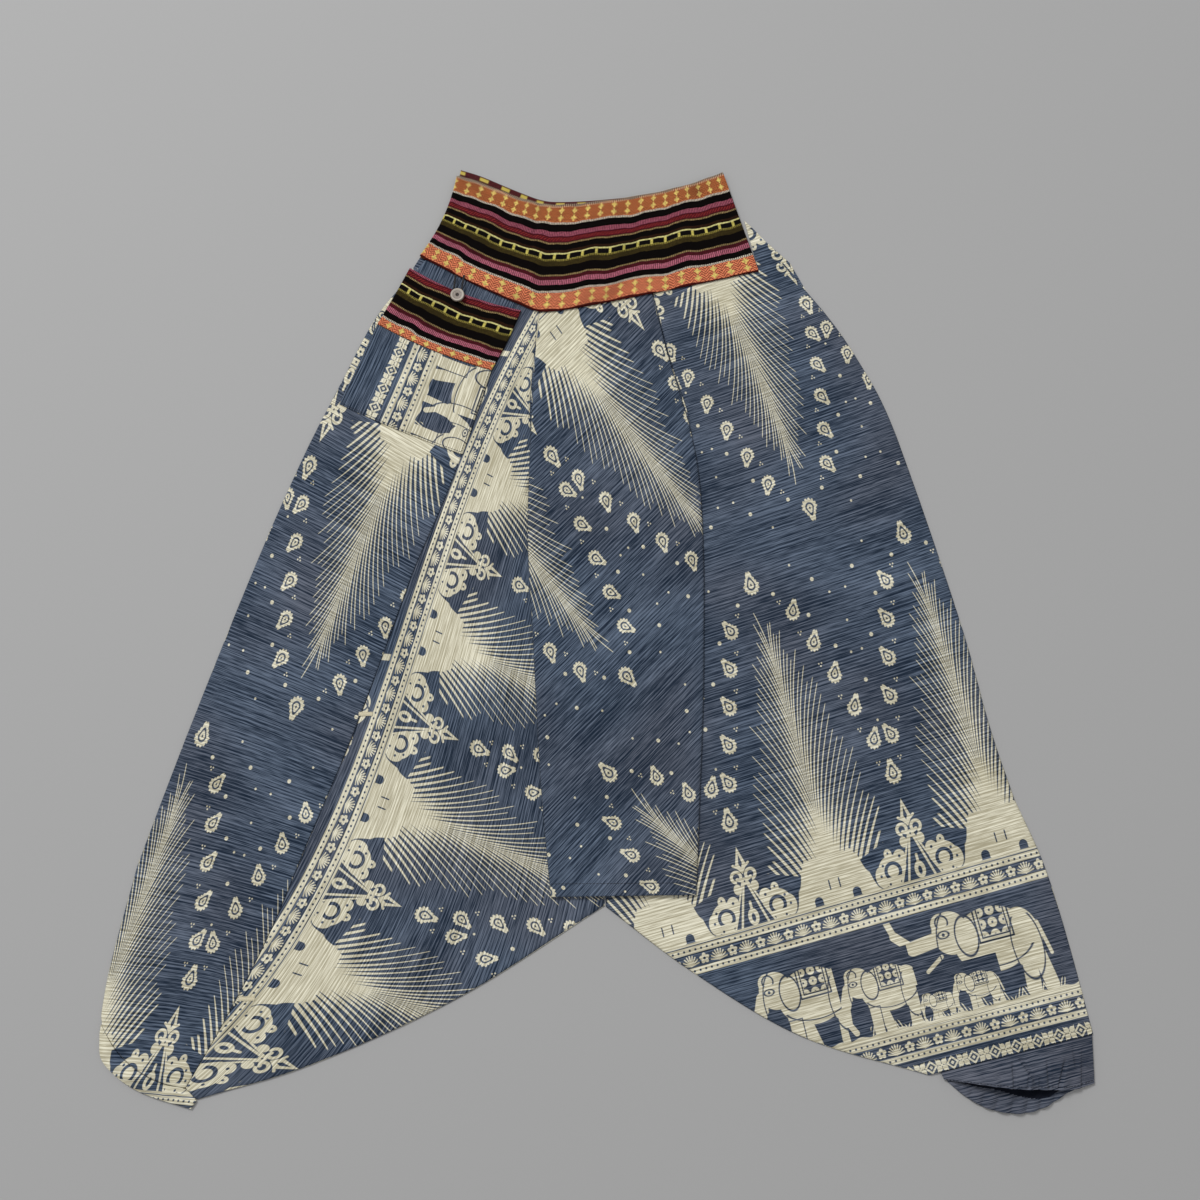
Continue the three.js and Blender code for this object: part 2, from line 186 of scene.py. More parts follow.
def spot(x, y):
    node = loom.nodes.new("ShaderNodeCombineXYZ")
    feed(node.inputs["X"], x)
    feed(node.inputs["Y"], y)
    return Number(node.outputs["Vector"])


def apart(vector):
    node = loom.nodes.new("ShaderNodeSeparateXYZ")
    feed(node.inputs[0], vector)
    return Number(node.outputs["X"]), Number(node.outputs["Y"])


def wrap(a, period):
    return maths("WRAP", a, period / 2, -period / 2)


def reach(place, x, y):
    return vectors("DISTANCE", place, (x, y, 0))


def disc(place, x, y, radius):
    return radius - reach(place, x, y)


def oval(place, x, y, a, b):
    length = vectors("LENGTH", vectors("MULTIPLY_ADD", place, (1 / a, 1 / b, 0), (-x / a, -y / b, 0)))
    return maths("MULTIPLY_ADD", length, -min(a, b), min(a, b))


def stroke(place, x0, y0, x1, y1, radius):
    run = Vector((x1 - x0, y1 - y0, 0))
    off = vectors("SUBTRACT", place, (x0, y0, 0))
    along = share_of(vectors("DOT_PRODUCT", off, run / run.length_squared))
    nearest = vectors("SCALE", run, scale=along)
    return radius - vectors("DISTANCE", off, nearest)


def ink(depth, edge=INK_EDGE):
    return soft(depth, -edge, edge)


def chance(a):
    node = loom.nodes.new("ShaderNodeTexWhiteNoise")
    node.noise_dimensions = "1D"
    feed(node.inputs["W"], a)
    return Number(node.outputs["Value"])


def cloud(place, scale, detail=2.0):
    node = loom.nodes.new("ShaderNodeTexNoise")
    node.inputs["Scale"].default_value = scale
    node.inputs["Detail"].default_value = detail
    feed(node.inputs["Vector"], place)
    return Number(node.outputs["Fac"])


def blend(share, first, second):
    node = loom.nodes.new("ShaderNodeMix")
    node.data_type = "RGBA"
    feed(node.inputs[0], share)
    feed(node.inputs[6], first)
    feed(node.inputs[7], second)
    return Number(node.outputs[2])


def new_group(name, inputs, outputs):
    global loom
    loom = bpy.data.node_groups.new(name, "ShaderNodeTree")
    for label, kind in inputs:
        loom.interface.new_socket(label, in_out="INPUT", socket_type=kind)
    for label, kind in outputs:
        loom.interface.new_socket(label, in_out="OUTPUT", socket_type=kind)
    start = loom.nodes.new("NodeGroupInput")
    end = loom.nodes.new("NodeGroupOutput")
    return loom, [Number(start.outputs[label]) for label, _ in inputs], end


# Plumes of fine lines: each line leaves the axis at its own height and bends outwards, so
# they crowd to solid cream at the foot and end one below the other along both sides
LINE_STEP = 12.0
LINE_LEAN = 0.06
LINE_BEND = 0.0020
LINE_TOP = 288.0
LINE_LAST = 250.0


def plume(x, side, v):
    slope = maths("SQRT", x * (4 * LINE_BEND) + LINE_LEAN**2)
    start = v - (slope - LINE_LEAN) / (2 * LINE_BEND) + 0.5 * LINE_STEP * side
    line = maths("ROUND", start / LINE_STEP)
    uneven = chance(line + 0.41 * side)
    below = LINE_LAST - LINE_STEP * line
    left = LINE_TOP - below * (0.387 + 0.0007 * below) - 18.0 * uneven - v
    off = size(start - LINE_STEP * line + 2.6 * (uneven - 0.5)) * slope
    crowded = 0.31 * LINE_STEP * slope
    thick = least(0.36 + 0.0062 * most(left, 0.0), crowded) + 0.02 * most(98 - v, 0.0)
    return ink(thick - off, 0.3) * ink(left, 1.0) * ink(below) * ink(v - 23 - 0.34 * x)


# The cream mound that each spray stands on, with two bells and two short cuts
def mound(x, v):
    place = spot(x, v)
    slope = least(46 - 0.42 * v - x, 47 - v)
    body = ink(slope - 1.5 * size(maths("SINE", x * 0.42)), 0.5)
    cut = stroke(place, 5.2, 15, 5.2, 23, 0.7)
    bell = most(stroke(place, 20, 0, 20, 6.5, 4.4), stroke(place, 16, 0.5, 24, 0.5, 2.2))
    return body * (1 - ink(most(cut, bell)))


# The lace arch between two mounds, with its tent, scrolls and leaf finial
def gate(g, v):
    place = spot(g, v)
    lace = most(
        oval(place, 27, 15, 15, 15),
        disc(place, 17, 27, 6),
        oval(place, 39, 12, 7, 10),
        oval(place, 28, 31, 4, 5),
        oval(place, 9, 38, 4, 5),
    )
    ring = least(1.7 - size(reach(place, 27, 15) - 7.4), v - 10)
    holes = most(
        ring,
        disc(place, 17, 27, 1.4),
        disc(place, 40, 13, 1.3),
        disc(place, 28, 32, 1.1),
        disc(place, 36, 22, 1.3),
        disc(place, 21, 4, 1.2),
        disc(place, 33, 4, 1.2),
    )
    tent = most(stroke(place, 1.5, 43, 14, 2, 1.1), stroke(place, 3, 43, 21, 2, 0.9))
    seed = most(oval(place, 0, 10, 5.5, 8), stroke(place, 0, 12, 0, 24, 1.3))
    seed = ink(seed) * (1 - ink(oval(place, 0, 9.5, 2, 4)))
    outside = 1 - ink(43 - v - g * 2.05)
    arch = most(ink(lace) * (1 - ink(holes)) * outside, ink(tent), ink(2.2 - v), seed)
    curl = least(1.5 - size(reach(place, 7.5, 49.5) - 4.8), most(v - 46, g - 8))
    leaf = least((77 - v) * 0.32 - g, (v - 51) * 0.75 - g)
    finial = most(
        disc(place, 0, 44, 3.6),
        curl,
        leaf,
        stroke(place, 1, 56, 8, 60.5, 1.2),
        stroke(place, 2, 45, 7, 47, 1.6),
    )
    slit = most(least((70 - v) * 0.22 - g, (v - 57) * 0.5 - g), disc(place, 0, 44, 1.0))
    return most(arch, ink(finial) * (1 - ink(slit)))


# Feather eyes: toothed drops in two rows that part between the sprays, one at each
# spray's tip, three small dots beside each drop and single dots along the middle
ROW_START = 101.0
ROW_RISE = 34.6
TIP_EYE = 311.0
EYE_LEAN = 0.48
LARGE_DOTS = [(0, 191), (20, 230), (38, 266), (23, 298), (68, 296)]
SMALL_DOTS = [(0, 152), (6, 220), (0, 250), (9, 281), (42, 318)]
DROP_NARROWER = 0.83
DROP_SHORTER = 0.76


def eye(across, up):
    across = across * DROP_NARROWER
    up = up * DROP_SHORTER
    height = most(up * 0.62, up * -0.95)
    radius = vectors("LENGTH", spot(across * (1 + 0.12 * most(up, 0.0)), height))
    teeth = size(maths("SINE", 7.0 * maths("ARCTAN2", across, up)))
    body = ink(5.9 + 1.5 * teeth - radius, 0.4)
    return body * (1 - ink(most(0.75 - size(radius - 3.3), 0.8 - radius), 0.35))


def eyes(x, g, v):
    row = least(most(maths("ROUND", (v - ROW_START) / ROW_RISE), 0.0), 5.0)
    across = g - row * (9 + 0.32 * row)
    up = v - ROW_START - ROW_RISE * row
    lean = least(row, 1.0) * EYE_LEAN
    tip = above(v, 292.5)
    turned_across = across + lean * up
    turned_up = up - lean * across
    drop = eye(turned_across + tip * (x - turned_across), turned_up + tip * (v - TIP_EYE - turned_up))
    place = spot(across, up)
    trio = most(disc(place, 10, 13.5, 0.8), disc(place, 13, 13.5, 0.8), disc(place, 11.5, 11, 0.8))
    place = spot(g, v)
    large = most(*[disc(place, *spot_at, 2.0) for spot_at in LARGE_DOTS])
    small = most(*[disc(place, *spot_at, 1.2) for spot_at in SMALL_DOTS])
    return most(drop * ink(v - 85), ink(trio), ink(large), ink(small))


# The bands under the base line: flowers between two dotted strips, twice, with elephants
# between, and a chain of lozenges next to the plain hem
def elephant(x, y, raised):
    place = spot(x, y)
    near_leg = stroke(place, 38, 42, 37, 7, 6.2)
    hind_leg = stroke(place, 83, 42, 80, 7, 6)
    lowered = most(
        stroke(place, 14, 58, 7, 42, 6),
        stroke(place, 7, 42, 5, 24, 4.4),
        stroke(place, 5, 24, 11, 12, 3.2),
    )
    lifted = most(
        stroke(place, 14, 60, -6, 58, 5.4),
        stroke(place, -6, 58, -18, 70, 3.6),
        stroke(place, -18, 70, -22, 84, 2.6),
    )
    shape = most(
        lowered - 40.0 * raised,
        lifted - 40.0 * (1 - raised),
        oval(place, 58, 50, 31, 24),
        oval(place, 82, 46, 15, 22),
        oval(place, 27, 62, 15, 16),
        disc(place, 21, 70, 8),
        near_leg,
        stroke(place, 45, 36, 51, 7, 5.8),
        stroke(place, 89, 42, 95, 7, 5.4),
        hind_leg,
        stroke(place, 96, 54, 101, 30, 1.4),
        stroke(place, 15, 47, 1, 39, 1.5),
    )
    ear = 0.6 - size(oval(place, 39, 57, 9, 15))
    fold = least(0.5 - size(oval(place, 30, 50, 16, 30)), 24 - x)
    legs = 0.5 - size(least(near_leg, 34 - y))
    hind = least(0.5 - size(oval(place, 84, 40, 12, 26)), 62 - y)
    belly = least(0.5 - size(oval(place, 60, 44, 30, 14)), 40 - y)
    lid = 0.5 - size(oval(place, 21, 62, 4.5, 2.6))
    cloth = least(least(x - 47, 77 - x), y - 48)
    hem = most(0.7 - size(cloth - 1.2), least(0.6 - size(cloth - 4.2), cloth))
    flower = disc(spot(wrap(x - 62, 9), wrap(y - 62, 9)), 0, 0, 3.7)
    middle = disc(spot(wrap(x - 62, 9), wrap(y - 62, 9)), 0, 0, 0.9)
    field = least(cloth - 5.2, most(0 - flower, middle))
    crown = least(0.7 - size(reach(place, 22, 71) - 5), y - 68)
    lines = most(ear, fold, legs, hind, belly, lid, disc(place, 21, 62, 1.3), hem, field, crown)
    return ink(shape) * (1 - ink(lines))


# The herd repeats every second spray: two elephants nose to tail, two calves and one with
# its trunk up; each is drawn where x is past its start and the height is under its limit
HERD = [
    dict(start=186.0, end=400.0, limit=200.0, fewer=0.80, corner=220.0, lifted=1.0),
    dict(start=128.0, end=207.0, limit=78.0, fewer=1.12, corner=126.0, lifted=0.0),
    dict(start=205.0, end=238.0, limit=40.0, fewer=2.6, corner=203.0, lifted=0.0),
    dict(start=238.0, end=292.0, limit=50.0, fewer=1.95, corner=238.0, lifted=0.0),
]
FIRST_CORNER = 38.0
FIRST_FEWER = 0.9


def bands(u, v):
    lower = above(-85.0 - v, 0)
    y = v + 20.7 + 130.3 * lower
    off = size(y - 6.4)
    strip = ink(least(off - 6.7, 13.2 - off))
    dots = disc(spot(wrap(u, 5.9), off - 9.95), 0, 0, 1.15)
    x = wrap(u, REPEAT / 6)
    radius = reach(spot(x, y - 6.2), 0, 0)
    petals = 3.3 + 1.9 * size(maths("COSINE", 2.5 * maths("ARCTAN2", x, y - 6.2))) - radius
    bloom = ink(petals) * (1 - ink(1.4 - radius))
    side = spot(size(wrap(u + REPEAT / 12, REPEAT / 6)), y - 6.2)
    tuft = most(
        stroke(side, 0, -4.5, 0, 4.8, 0.8),
        stroke(side, 0, -4.5, 2.9, 4.4, 0.65),
        stroke(side, 0, -4.5, 5.4, 2.8, 0.65),
        stroke(side, 0, -4.5, 7.2, 0.2, 0.65),
        stroke(side, 0, -4.5, 8.2, -2.8, 0.65),
    )
    flowers = most(bloom, ink(tuft)) * ink(6.2 - off)
    drawn = most(strip * (1 - ink(dots)), flowers)
    low = v + 131
    x = wrap(u - 22, 2 * REPEAT) + REPEAT
    herd_x, herd_y, lifted = FIRST_FEWER * (x - FIRST_CORNER), FIRST_FEWER * low, 0.0
    for one in HERD:
        inside = least(least(x - one["start"], one["end"] - x), one["limit"] - low)
        chosen = above(inside, 0.0)
        herd_x = herd_x + chosen * (one["fewer"] * (x - one["corner"]) - herd_x)
        herd_y = herd_y + chosen * (one["fewer"] * low - herd_y)
        lifted = lifted + chosen * (one["lifted"] - lifted)
    herd = elephant(herd_x, herd_y, lifted)
    bush_x, bush_y = size(wrap(u, REPEAT / 8)), low - 3
    bush = least(1.1 - size(maths("SINE", bush_x * 0.9 + bush_y * 0.35)) * 2.2, 13 - bush_x - bush_y)
    bush = least(bush, x - 150)
    ground = ink(most(5.0 + maths("SINE", u * 0.3) - low, bush))
    parade = most(herd, ground) * ink(least(low, -29.5 - v))
    x = size(wrap(u, 22))
    y = size(v + 169)
    lozenge = most(1.2 - size(x + y - 5.4), 1.9 - x - y)
    x = size(wrap(u + 11, 22))
    petals = least(disc(spot(x, y), 2.9, 2.9, 2.7), most(x, y) - 1.0)
    chain = ink(most(lozenge, petals, least(1.0 - size(y - x), 5.6 - x)))
    return most(drawn * ink(least(0 - v, v + 159)), parade, chain)


border_print, (U, V), end = new_group(
    "border_print",
    [("Along", "NodeSocketFloat"), ("Up", "NodeSocketFloat")],
    [("Print", "NodeSocketFloat")],
)
X = maths("PINGPONG", U, REPEAT / 2)
G = REPEAT / 2 - X
SIDE = above(wrap(U, REPEAT), 0.0)
upper = most(plume(X, SIDE, V), mound(X, V), gate(G, V), eyes(X, G, V)) * ink(V)
feed(end.inputs["Print"], most(upper, bands(U, V)))

# The cotton itself is woven of uneven slub yarn: fine pale and dark streaks that run
# along u, over a plain weave.
slub_cotton, (U, V), end = new_group(
    "slub_cotton",
    [("Along", "NodeSocketFloat"), ("Up", "NodeSocketFloat")],
    [("Tone", "NodeSocketFloat"), ("Height", "NodeSocketFloat")],
)
waved = V + 1.6 * cloud(spot(U * 0.012, V * 0.012), 1.0, 1.0)
rib = cloud(spot(U * 0.010, waved * 0.95), 1.0, 1.0)
fine = cloud(spot(U * 0.06, waved * 1.9), 1.0, 1.0)
even = maths("SINE", waved * 1.95)
broad = cloud(spot(U * 0.006, V * 0.02), 1.0, 1.0)
mixed = 0.52 * rib + 0.48 * fine + 0.05 * even + 0.20 * (broad - 0.5)
feed(end.inputs["Tone"], soft(mixed, 0.37, 0.68))
feed(end.inputs["Height"], soft(rib, 0.35, 0.65) + 0.5 * fine)

INDIGO_DEEP = (0.011, 0.021, 0.040, 1)
INDIGO_PALE = (0.142, 0.185, 0.258, 1)
GREY_PALE = (0.160, 0.165, 0.200, 1)
CREAM_DEEP = (0.46, 0.42, 0.29, 1)
CREAM_PALE = (0.99, 0.95, 0.76, 1)


def new_finish(name, roughness, specular=None):
    """A material, whose nodes the helpers above now add to, and its shader."""
    global loom
    finish = bpy.data.materials.new(name)
    finish.use_nodes = True
    loom = finish.node_tree
    shader = loom.nodes["Principled BSDF"]
    shader.inputs["Roughness"].default_value = roughness
    if specular is not None:
        shader.inputs["Specular IOR Level"].default_value = specular
    return finish, shader


def cloth_place():
    """Place on the cloth, in millimetres, from the uv map that each sheet carries."""
    source = loom.nodes.new("ShaderNodeUVMap")
    source.uv_map = "cloth"
    return vectors("SCALE", Number(source.outputs["UV"]), scale=1000.0)


def raised(shader, height, strength, depth=0.0005):
    """Fine relief of the surface; its depth is in metres."""
    bump = loom.nodes.new("ShaderNodeBump")
    bump.inputs["Strength"].default_value = strength
    bump.inputs["Distance"].default_value = depth
    feed(bump.inputs["Height"], height)
    loom.links.new(bump.outputs["Normal"], shader.inputs["Normal"])


def cotton(name, printed=True):
    """Material of the cotton, with the border print or plain."""
    finish, shader = new_finish(name, roughness=0.9, specular=0.08)
    u, v = apart(cloth_place())
    weave = loom.nodes.new("ShaderNodeGroup")
    weave.node_tree = slub_cotton
    feed(weave.inputs["Along"], u)
    feed(weave.inputs["Up"], v)
    tone = Number(weave.outputs["Tone"])
    faded = soft(cloud(spot(u, v), 0.006, 1.0), 0.35, 0.70)
    pale = blend(faded * (0.7 if printed else 0.3) + (0.0 if printed else 0.7), INDIGO_PALE, GREY_PALE)
    colour = blend(tone, INDIGO_DEEP, pale)
    height = Number(weave.outputs["Height"])
    if printed:
        far = above(v, CLOTH_RISE / 2)
        border = loom.nodes.new("ShaderNodeGroup")
        border.node_tree = border_print
        feed(border.inputs["Along"], u + REPEAT / 2 * far)
        feed(border.inputs["Up"], least(v, CLOTH_RISE - v))
        cover = Number(border.outputs["Print"])
        colour = blend(cover * 0.97, colour, blend(tone, CREAM_DEEP, CREAM_PALE))
    feed(shader.inputs["Base Color"], colour)
    shader.inputs["Sheen Weight"].default_value = 0.03
    shader.inputs["Sheen Roughness"].default_value = 0.5
    raised(shader, height, strength=0.3)
    return finish


printed_cotton = cotton("printed_cotton")

# Laying the cloth: each panel is a fine grid between two named edges of a short table of
# sections, at the height of the solid that it stands for. Tables are in millimetres from
# the middle of the garment.
CLOTH = 1.2
CLEARANCE = 0.3
FRONT_LEVEL = CLOTH + CLEARANCE
UPPER_LEVEL = FRONT_LEVEL + CLOTH + CLEARANCE
SHELL = 0.7
MIDDLE = (1.0, 0.5)
MM = 0.001


def table(columns, rows):
    return [dict(zip(columns.split(), row)) for row in rows]


def through(rows, name, t):
    """Value of a column on a smooth line through the rows; a row with turn keeps its corner."""
    last = len(rows) - 1
    k = min(int(t * last), last - 1)
    value = lambda row: rows[min(max(row, 0), last)].get(name, 0)
    is_end = lambda row: row in (0, last) or rows[row].get("turn")
    here, there = value(k), value(k + 1)
    leaving = there - here if is_end(k) else (there - value(k - 1)) / 2
    arriving = there - here if is_end(k + 1) else (value(k + 2) - here) / 2
    s = t * last - k
    curve = here * (2 * s**3 - 3 * s**2 + 1) + there * (3 * s**2 - 2 * s**3)
    return curve + leaving * (s**3 - 2 * s**2 + s) + arriving * (s**3 - s**2)


def smooth(a, low, high):
    s = min(max((a - low) / (high - low), 0), 1)
    return s * s * (3 - 2 * s)


def meshed(name, points, faces, material=None, edges=(), smoothed=False):
    """A piece at the origin, of points in millimetres from the middle of the garment."""
    mesh = bpy.data.meshes.new(name)
    placed = [((x + MIDDLE[0]) * MM, (y + MIDDLE[1]) * MM, z * MM) for x, y, z in points]
    mesh.from_pydata(placed, list(edges), faces)
    if material:
        mesh.materials.append(material)
    if smoothed:
        mesh.shade_smooth()
    piece = bpy.data.objects.new(name, mesh)
    bpy.context.collection.objects.link(piece)
    return piece


def thicken(piece, thickness):
    wall = piece.modifiers.new("thickness", "SOLIDIFY")
    wall.thickness = thickness * MM
    wall.offset = -1


FOLDS = table(
    "from_x from_y to_x to_y height width",
    [
        (62, 320, 88, 215, 2.6, 26),
        (120, 315, 225, 290, 1.8, 22),
        (118, 268, 250, 226, 1.6, 24),
        (150, 150, 300, 120, 1.5, 30),
        (150, -60, 330, -110, 1.6, 34),
        (70, -332, 215, -316, 1.8, 24),
        (250, -400, 330, -330, 1.8, 24),
        (395, -395, 385, -300, 2, 20),
        (430, -385, 415, -290, 1.8, 16),
        (345, -415, 350, -350, 1.8, 16),
        (-305, -290, -357, -367, 2.2, 16),
        (-420, -425, -395, -330, 2.2, 14),
        (-440, -405, -425, -310, 2, 14),
        (-390, -435, -370, -370, 2, 13),
        (-300, 120, -215, 60, 1.5, 30),
        (-180, -90, -90, -130, 1.5, 30),
        (-250, -330, -140, -330, 1.8, 26),
        (-142, 446, -96, 396, 1.6, 15),
        (-20, 428, -25, 345, 1.2, 18),
        (80, 446, 92, 360, 1.2, 18),
    ],
)


def ridge(x, y, x0, y0, x1, y1, height, width, fading):
    """Height at a place of a ridge that rises and ends softly between two points."""
    run_x, run_y = x1 - x0, y1 - y0
    length = math.hypot(run_x, run_y)
    run = ((x - x0) * run_x + (y - y0) * run_y) / length
    off = ((x - x0) * run_y - (y - y0) * run_x) / length
    across = min(max(1 - (off / width) ** 2, 0), 1)
    fade = min(max(fading * run * (length - run) / length**2, 0), 1)
    return height * across**2 * fade


def fold_lift(x, y):
    """How far the broad soft folds lift the cloth at a place."""
    return max(ridge(x, y, *fold.values(), fading=4) for fold in FOLDS)


def crease_dip(x, y, creases):
    """How far short sharp creases sink the cloth at a place."""
    dip = 0
    for crease in creases:
        start = seen_at(crease["from_x"], crease["from_y"])
        end = seen_at(crease["to_x"], crease["to_y"])
        dip = max(dip, ridge(x, y, *start, *end, crease["depth"], crease["width"], fading=5))
    return dip


def ripple(x, y):
    """Small soft unevenness of worn cotton, in millimetres."""
    broad = noise.noise(Vector((x * 0.012, y * 0.02, 3.1)))
    small = noise.noise(Vector((x * 0.045, y * 0.06, 7.7)))
    return 0.55 * broad + 0.3 * small


def place_on(panel, a, b):
    rows, start, finish = panel["rows"], panel["start"], panel["finish"]
    x0, y0 = through(rows, start + "_x", b), through(rows, start + "_y", b)
    x1, y1 = through(rows, finish + "_x", b), through(rows, finish + "_y", b)
    width = math.hypot(x1 - x0, y1 - y0)
    first = panel.get("start_inset", 0) / width
    last = 1 - panel.get("finish_inset", 0) / width
    share = first + (last - first) * a
    bow = 4 * share * (1 - share) * through(rows, "bow", b) if panel.get("bowed", True) else 0
    x = x0 + (x1 - x0) * share + bow * (y1 - y0) / width
    y = y0 + (y1 - y0) * share - bow * (x1 - x0) / width
    return x, y, width * a, width * (1 - a)


def close_spaced(count):
    """Shares from 0 to 1, closer together at both ends, for edges that roll over."""
    even = np.linspace(0, 1, count + 1)
    return 0.5 * even + 0.5 * (1 - np.cos(np.pi * even)) / 2


def roll(distance, radius, depth):
    """How far the cloth dips towards a folded edge."""
    if distance >= radius:
        return 0
    return depth * (1 - math.sqrt(1 - (1 - distance / radius) ** 2))


def lay_cloth(name, panel, across, down, height, cloth_uv, material, thickness=SHELL):
    """Grid of cloth over a panel: height gives each point's top, cloth_uv its place on the cloth."""
    points, marks = [], []
    for b in close_spaced(down):
        for a in close_spaced(across):
            x, y, left, right = place_on(panel, a, b)
            points.append((x, y, height(x, y, a, b, left, right)))
            marks.append((a, b))
    faces = []
    for j in range(down):
        for i in range(across):
            corner = j * (across + 1) + i
            faces.append((corner, corner + across + 1, corner + across + 2, corner + 1))
    p = np.array(points)
    a, b, c, _ = (p[list(faces[len(faces) // 2])][k] for k in range(4))
    if np.cross(b - a, c - a)[2] < 0:
        faces = [tuple(reversed(face)) for face in faces]
    uv = cloth_uv(p[:, 0], p[:, 1], np.array(marks))
    piece = meshed(name, points, faces, material, smoothed=True)
    layer = piece.data.uv_layers.new(name="cloth")
    corners = np.array([loop.vertex_index for loop in piece.data.loops])
    layer.data.foreach_set("uv", (uv[corners] * MM).ravel())
    thicken(piece, thickness)
    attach(piece, "root")
    return piece


def print_fit(rows, bend):
    """Cloth u and v as smooth functions of x and y, fitted through motifs' places."""
    marks = np.array(rows, float)
    powers = [(i, j) for i in range(4) for j in range(4 - i)]

    def terms(x, y):
        return np.stack([(x / 300) ** i * (y / 300) ** j for i, j in powers], -1)

    order = np.array([i + j for i, j in powers])
    even = np.diag(np.sqrt(bend * np.maximum(order - 1, 0) ** 2 * len(marks)))
    left = np.vstack([terms(marks[:, 0], marks[:, 1]), even])
    right = np.vstack([marks[:, 2:], np.zeros((len(powers), 2))])
    weights = np.linalg.lstsq(left, right, rcond=None)[0]
    return lambda x, y, ab: terms(x, y) @ weights


RAY_LEVEL = 4.0


@functools.cache
def seen_at(photo_x, photo_y):
    """Place on the cloth, in millimetres, that the camera sees at a point of the photograph."""
    ray = Vector(((photo_x - 600) / 1200, (600 - photo_y) / 1200, -1))
    down = Vector((ray.x, ray.y * math.cos(TILT) - ray.z * math.sin(TILT),
                   ray.y * math.sin(TILT) + ray.z * math.cos(TILT)))
    far = (RAY_LEVEL * MM - CAMERA_PLACE[2]) / down.z
    x = (CAMERA_PLACE[0] + far * down.x) / MM - MIDDLE[0]
    y = (CAMERA_PLACE[1] + far * down.y) / MM - MIDDLE[1]
    return x, y


def eye_off(row):
    return 9 * row + 0.32 * row * row


def eye_up(row):
    return ROW_START + ROW_RISE * row


# Machine stitches: short threads that a small node tree sets along a line on the cloth,
# one for each length of the pitch, turned by the slant from the line's own direction.
STITCH_INPUTS = [
    ("Line", "NodeSocketGeometry"), ("Pitch", "NodeSocketFloat"), ("Length", "NodeSocketFloat"),
    ("Radius", "NodeSocketFloat"), ("Slant", "NodeSocketFloat"), ("Thread", "NodeSocketMaterial"),
]
STITCH_SIDES = 6
stitch_tree = bpy.data.node_groups.new("stitches", "GeometryNodeTree")
for label, kind in STITCH_INPUTS:
    stitch_tree.interface.new_socket(label, in_out="INPUT", socket_type=kind)
stitch_tree.interface.new_socket("Stitches", in_out="OUTPUT", socket_type="NodeSocketGeometry")
made = {
    key: stitch_tree.nodes.new(kind)
    for key, kind in (
        ("start", "NodeGroupInput"), ("end", "NodeGroupOutput"),
        ("curve", "GeometryNodeMeshToCurve"), ("spaced", "GeometryNodeResampleCurve"),
        ("thread", "GeometryNodeMeshCylinder"), ("lying", "GeometryNodeTransform"),
        ("turn", "ShaderNodeCombineXYZ"), ("tangent", "GeometryNodeInputTangent"),
        ("aimed", "FunctionNodeAlignEulerToVector"), ("set", "GeometryNodeInstanceOnPoints"),
        ("real", "GeometryNodeRealizeInstances"), ("coloured", "GeometryNodeSetMaterial"),
    )
}
made["spaced"].mode = "LENGTH"
made["aimed"].axis = "X"
made["thread"].inputs["Vertices"].default_value = STITCH_SIDES
made["turn"].inputs["Y"].default_value = math.pi / 2
for source, output, target, slot in (
    ("start", "Line", "curve", "Mesh"), ("curve", "Curve", "spaced", "Curve"),
    ("start", "Pitch", "spaced", "Length"), ("start", "Radius", "thread", "Radius"),
    ("start", "Length", "thread", "Depth"), ("thread", "Mesh", "lying", "Geometry"),
    ("start", "Slant", "turn", "Z"), ("turn", "Vector", "lying", "Rotation"),
    ("tangent", "Tangent", "aimed", "Vector"), ("spaced", "Curve", "set", "Points"),
    ("lying", "Geometry", "set", "Instance"), ("aimed", "Rotation", "set", "Rotation"),
    ("set", "Instances", "real", "Geometry"), ("real", "Geometry", "coloured", "Geometry"),
    ("start", "Thread", "coloured", "Material"), ("coloured", "Geometry", "end", "Stitches"),
):
    stitch_tree.links.new(made[source].outputs[output], made[target].inputs[slot])


def thread_finish(name, colour):
    finish, shader = new_finish(name, roughness=0.8)
    shader.inputs["Base Color"].default_value = colour
    return finish


DARK_THREAD = thread_finish("dark_thread", (0.012, 0.014, 0.024, 1))
CREAM_THREAD = thread_finish("cream_thread", (0.72, 0.66, 0.48, 1))


HEM_STITCH = dict(pitch=3.0, length=2.1, radius=0.22, slant=0)


def sewn(name, lines, thread, pitch, length, radius, slant):
    """Stitches along lines of (x, y, z), in millimetres, as one plain mesh; slant is in degrees."""
    points, edges = [], []
    for line in lines:
        edges += [(len(points) + k, len(points) + k + 1) for k in range(len(line) - 1)]
        points += line
    piece = meshed(name, points, [], edges=edges)
    sewing = piece.modifiers.new("sewing", "NODES")
    sewing.node_group = stitch_tree
    values = dict(Pitch=pitch * MM, Length=length * MM, Radius=radius * MM,
                  Slant=math.radians(slant), Thread=thread)
    for item in stitch_tree.interface.items_tree:
        if item.name in values:
            sewing[item.identifier] = values[item.name]
    bpy.context.view_layer.update()
    seen = piece.evaluated_get(bpy.context.evaluated_depsgraph_get())
    threads = bpy.data.meshes.new_from_object(seen)
    piece.modifiers.clear()
    piece.data = threads
    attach(piece, "root")
    return piece


def line_on(panel, height, marks, lift=0.15):
    """Points on a laid panel at shares (a, b) across and down it."""
    line = []
    for a, b in marks:
        x, y, left, right = place_on(panel, a, b)
        line.append((x, y, height(x, y, a, b, left, right) + lift))
    return line


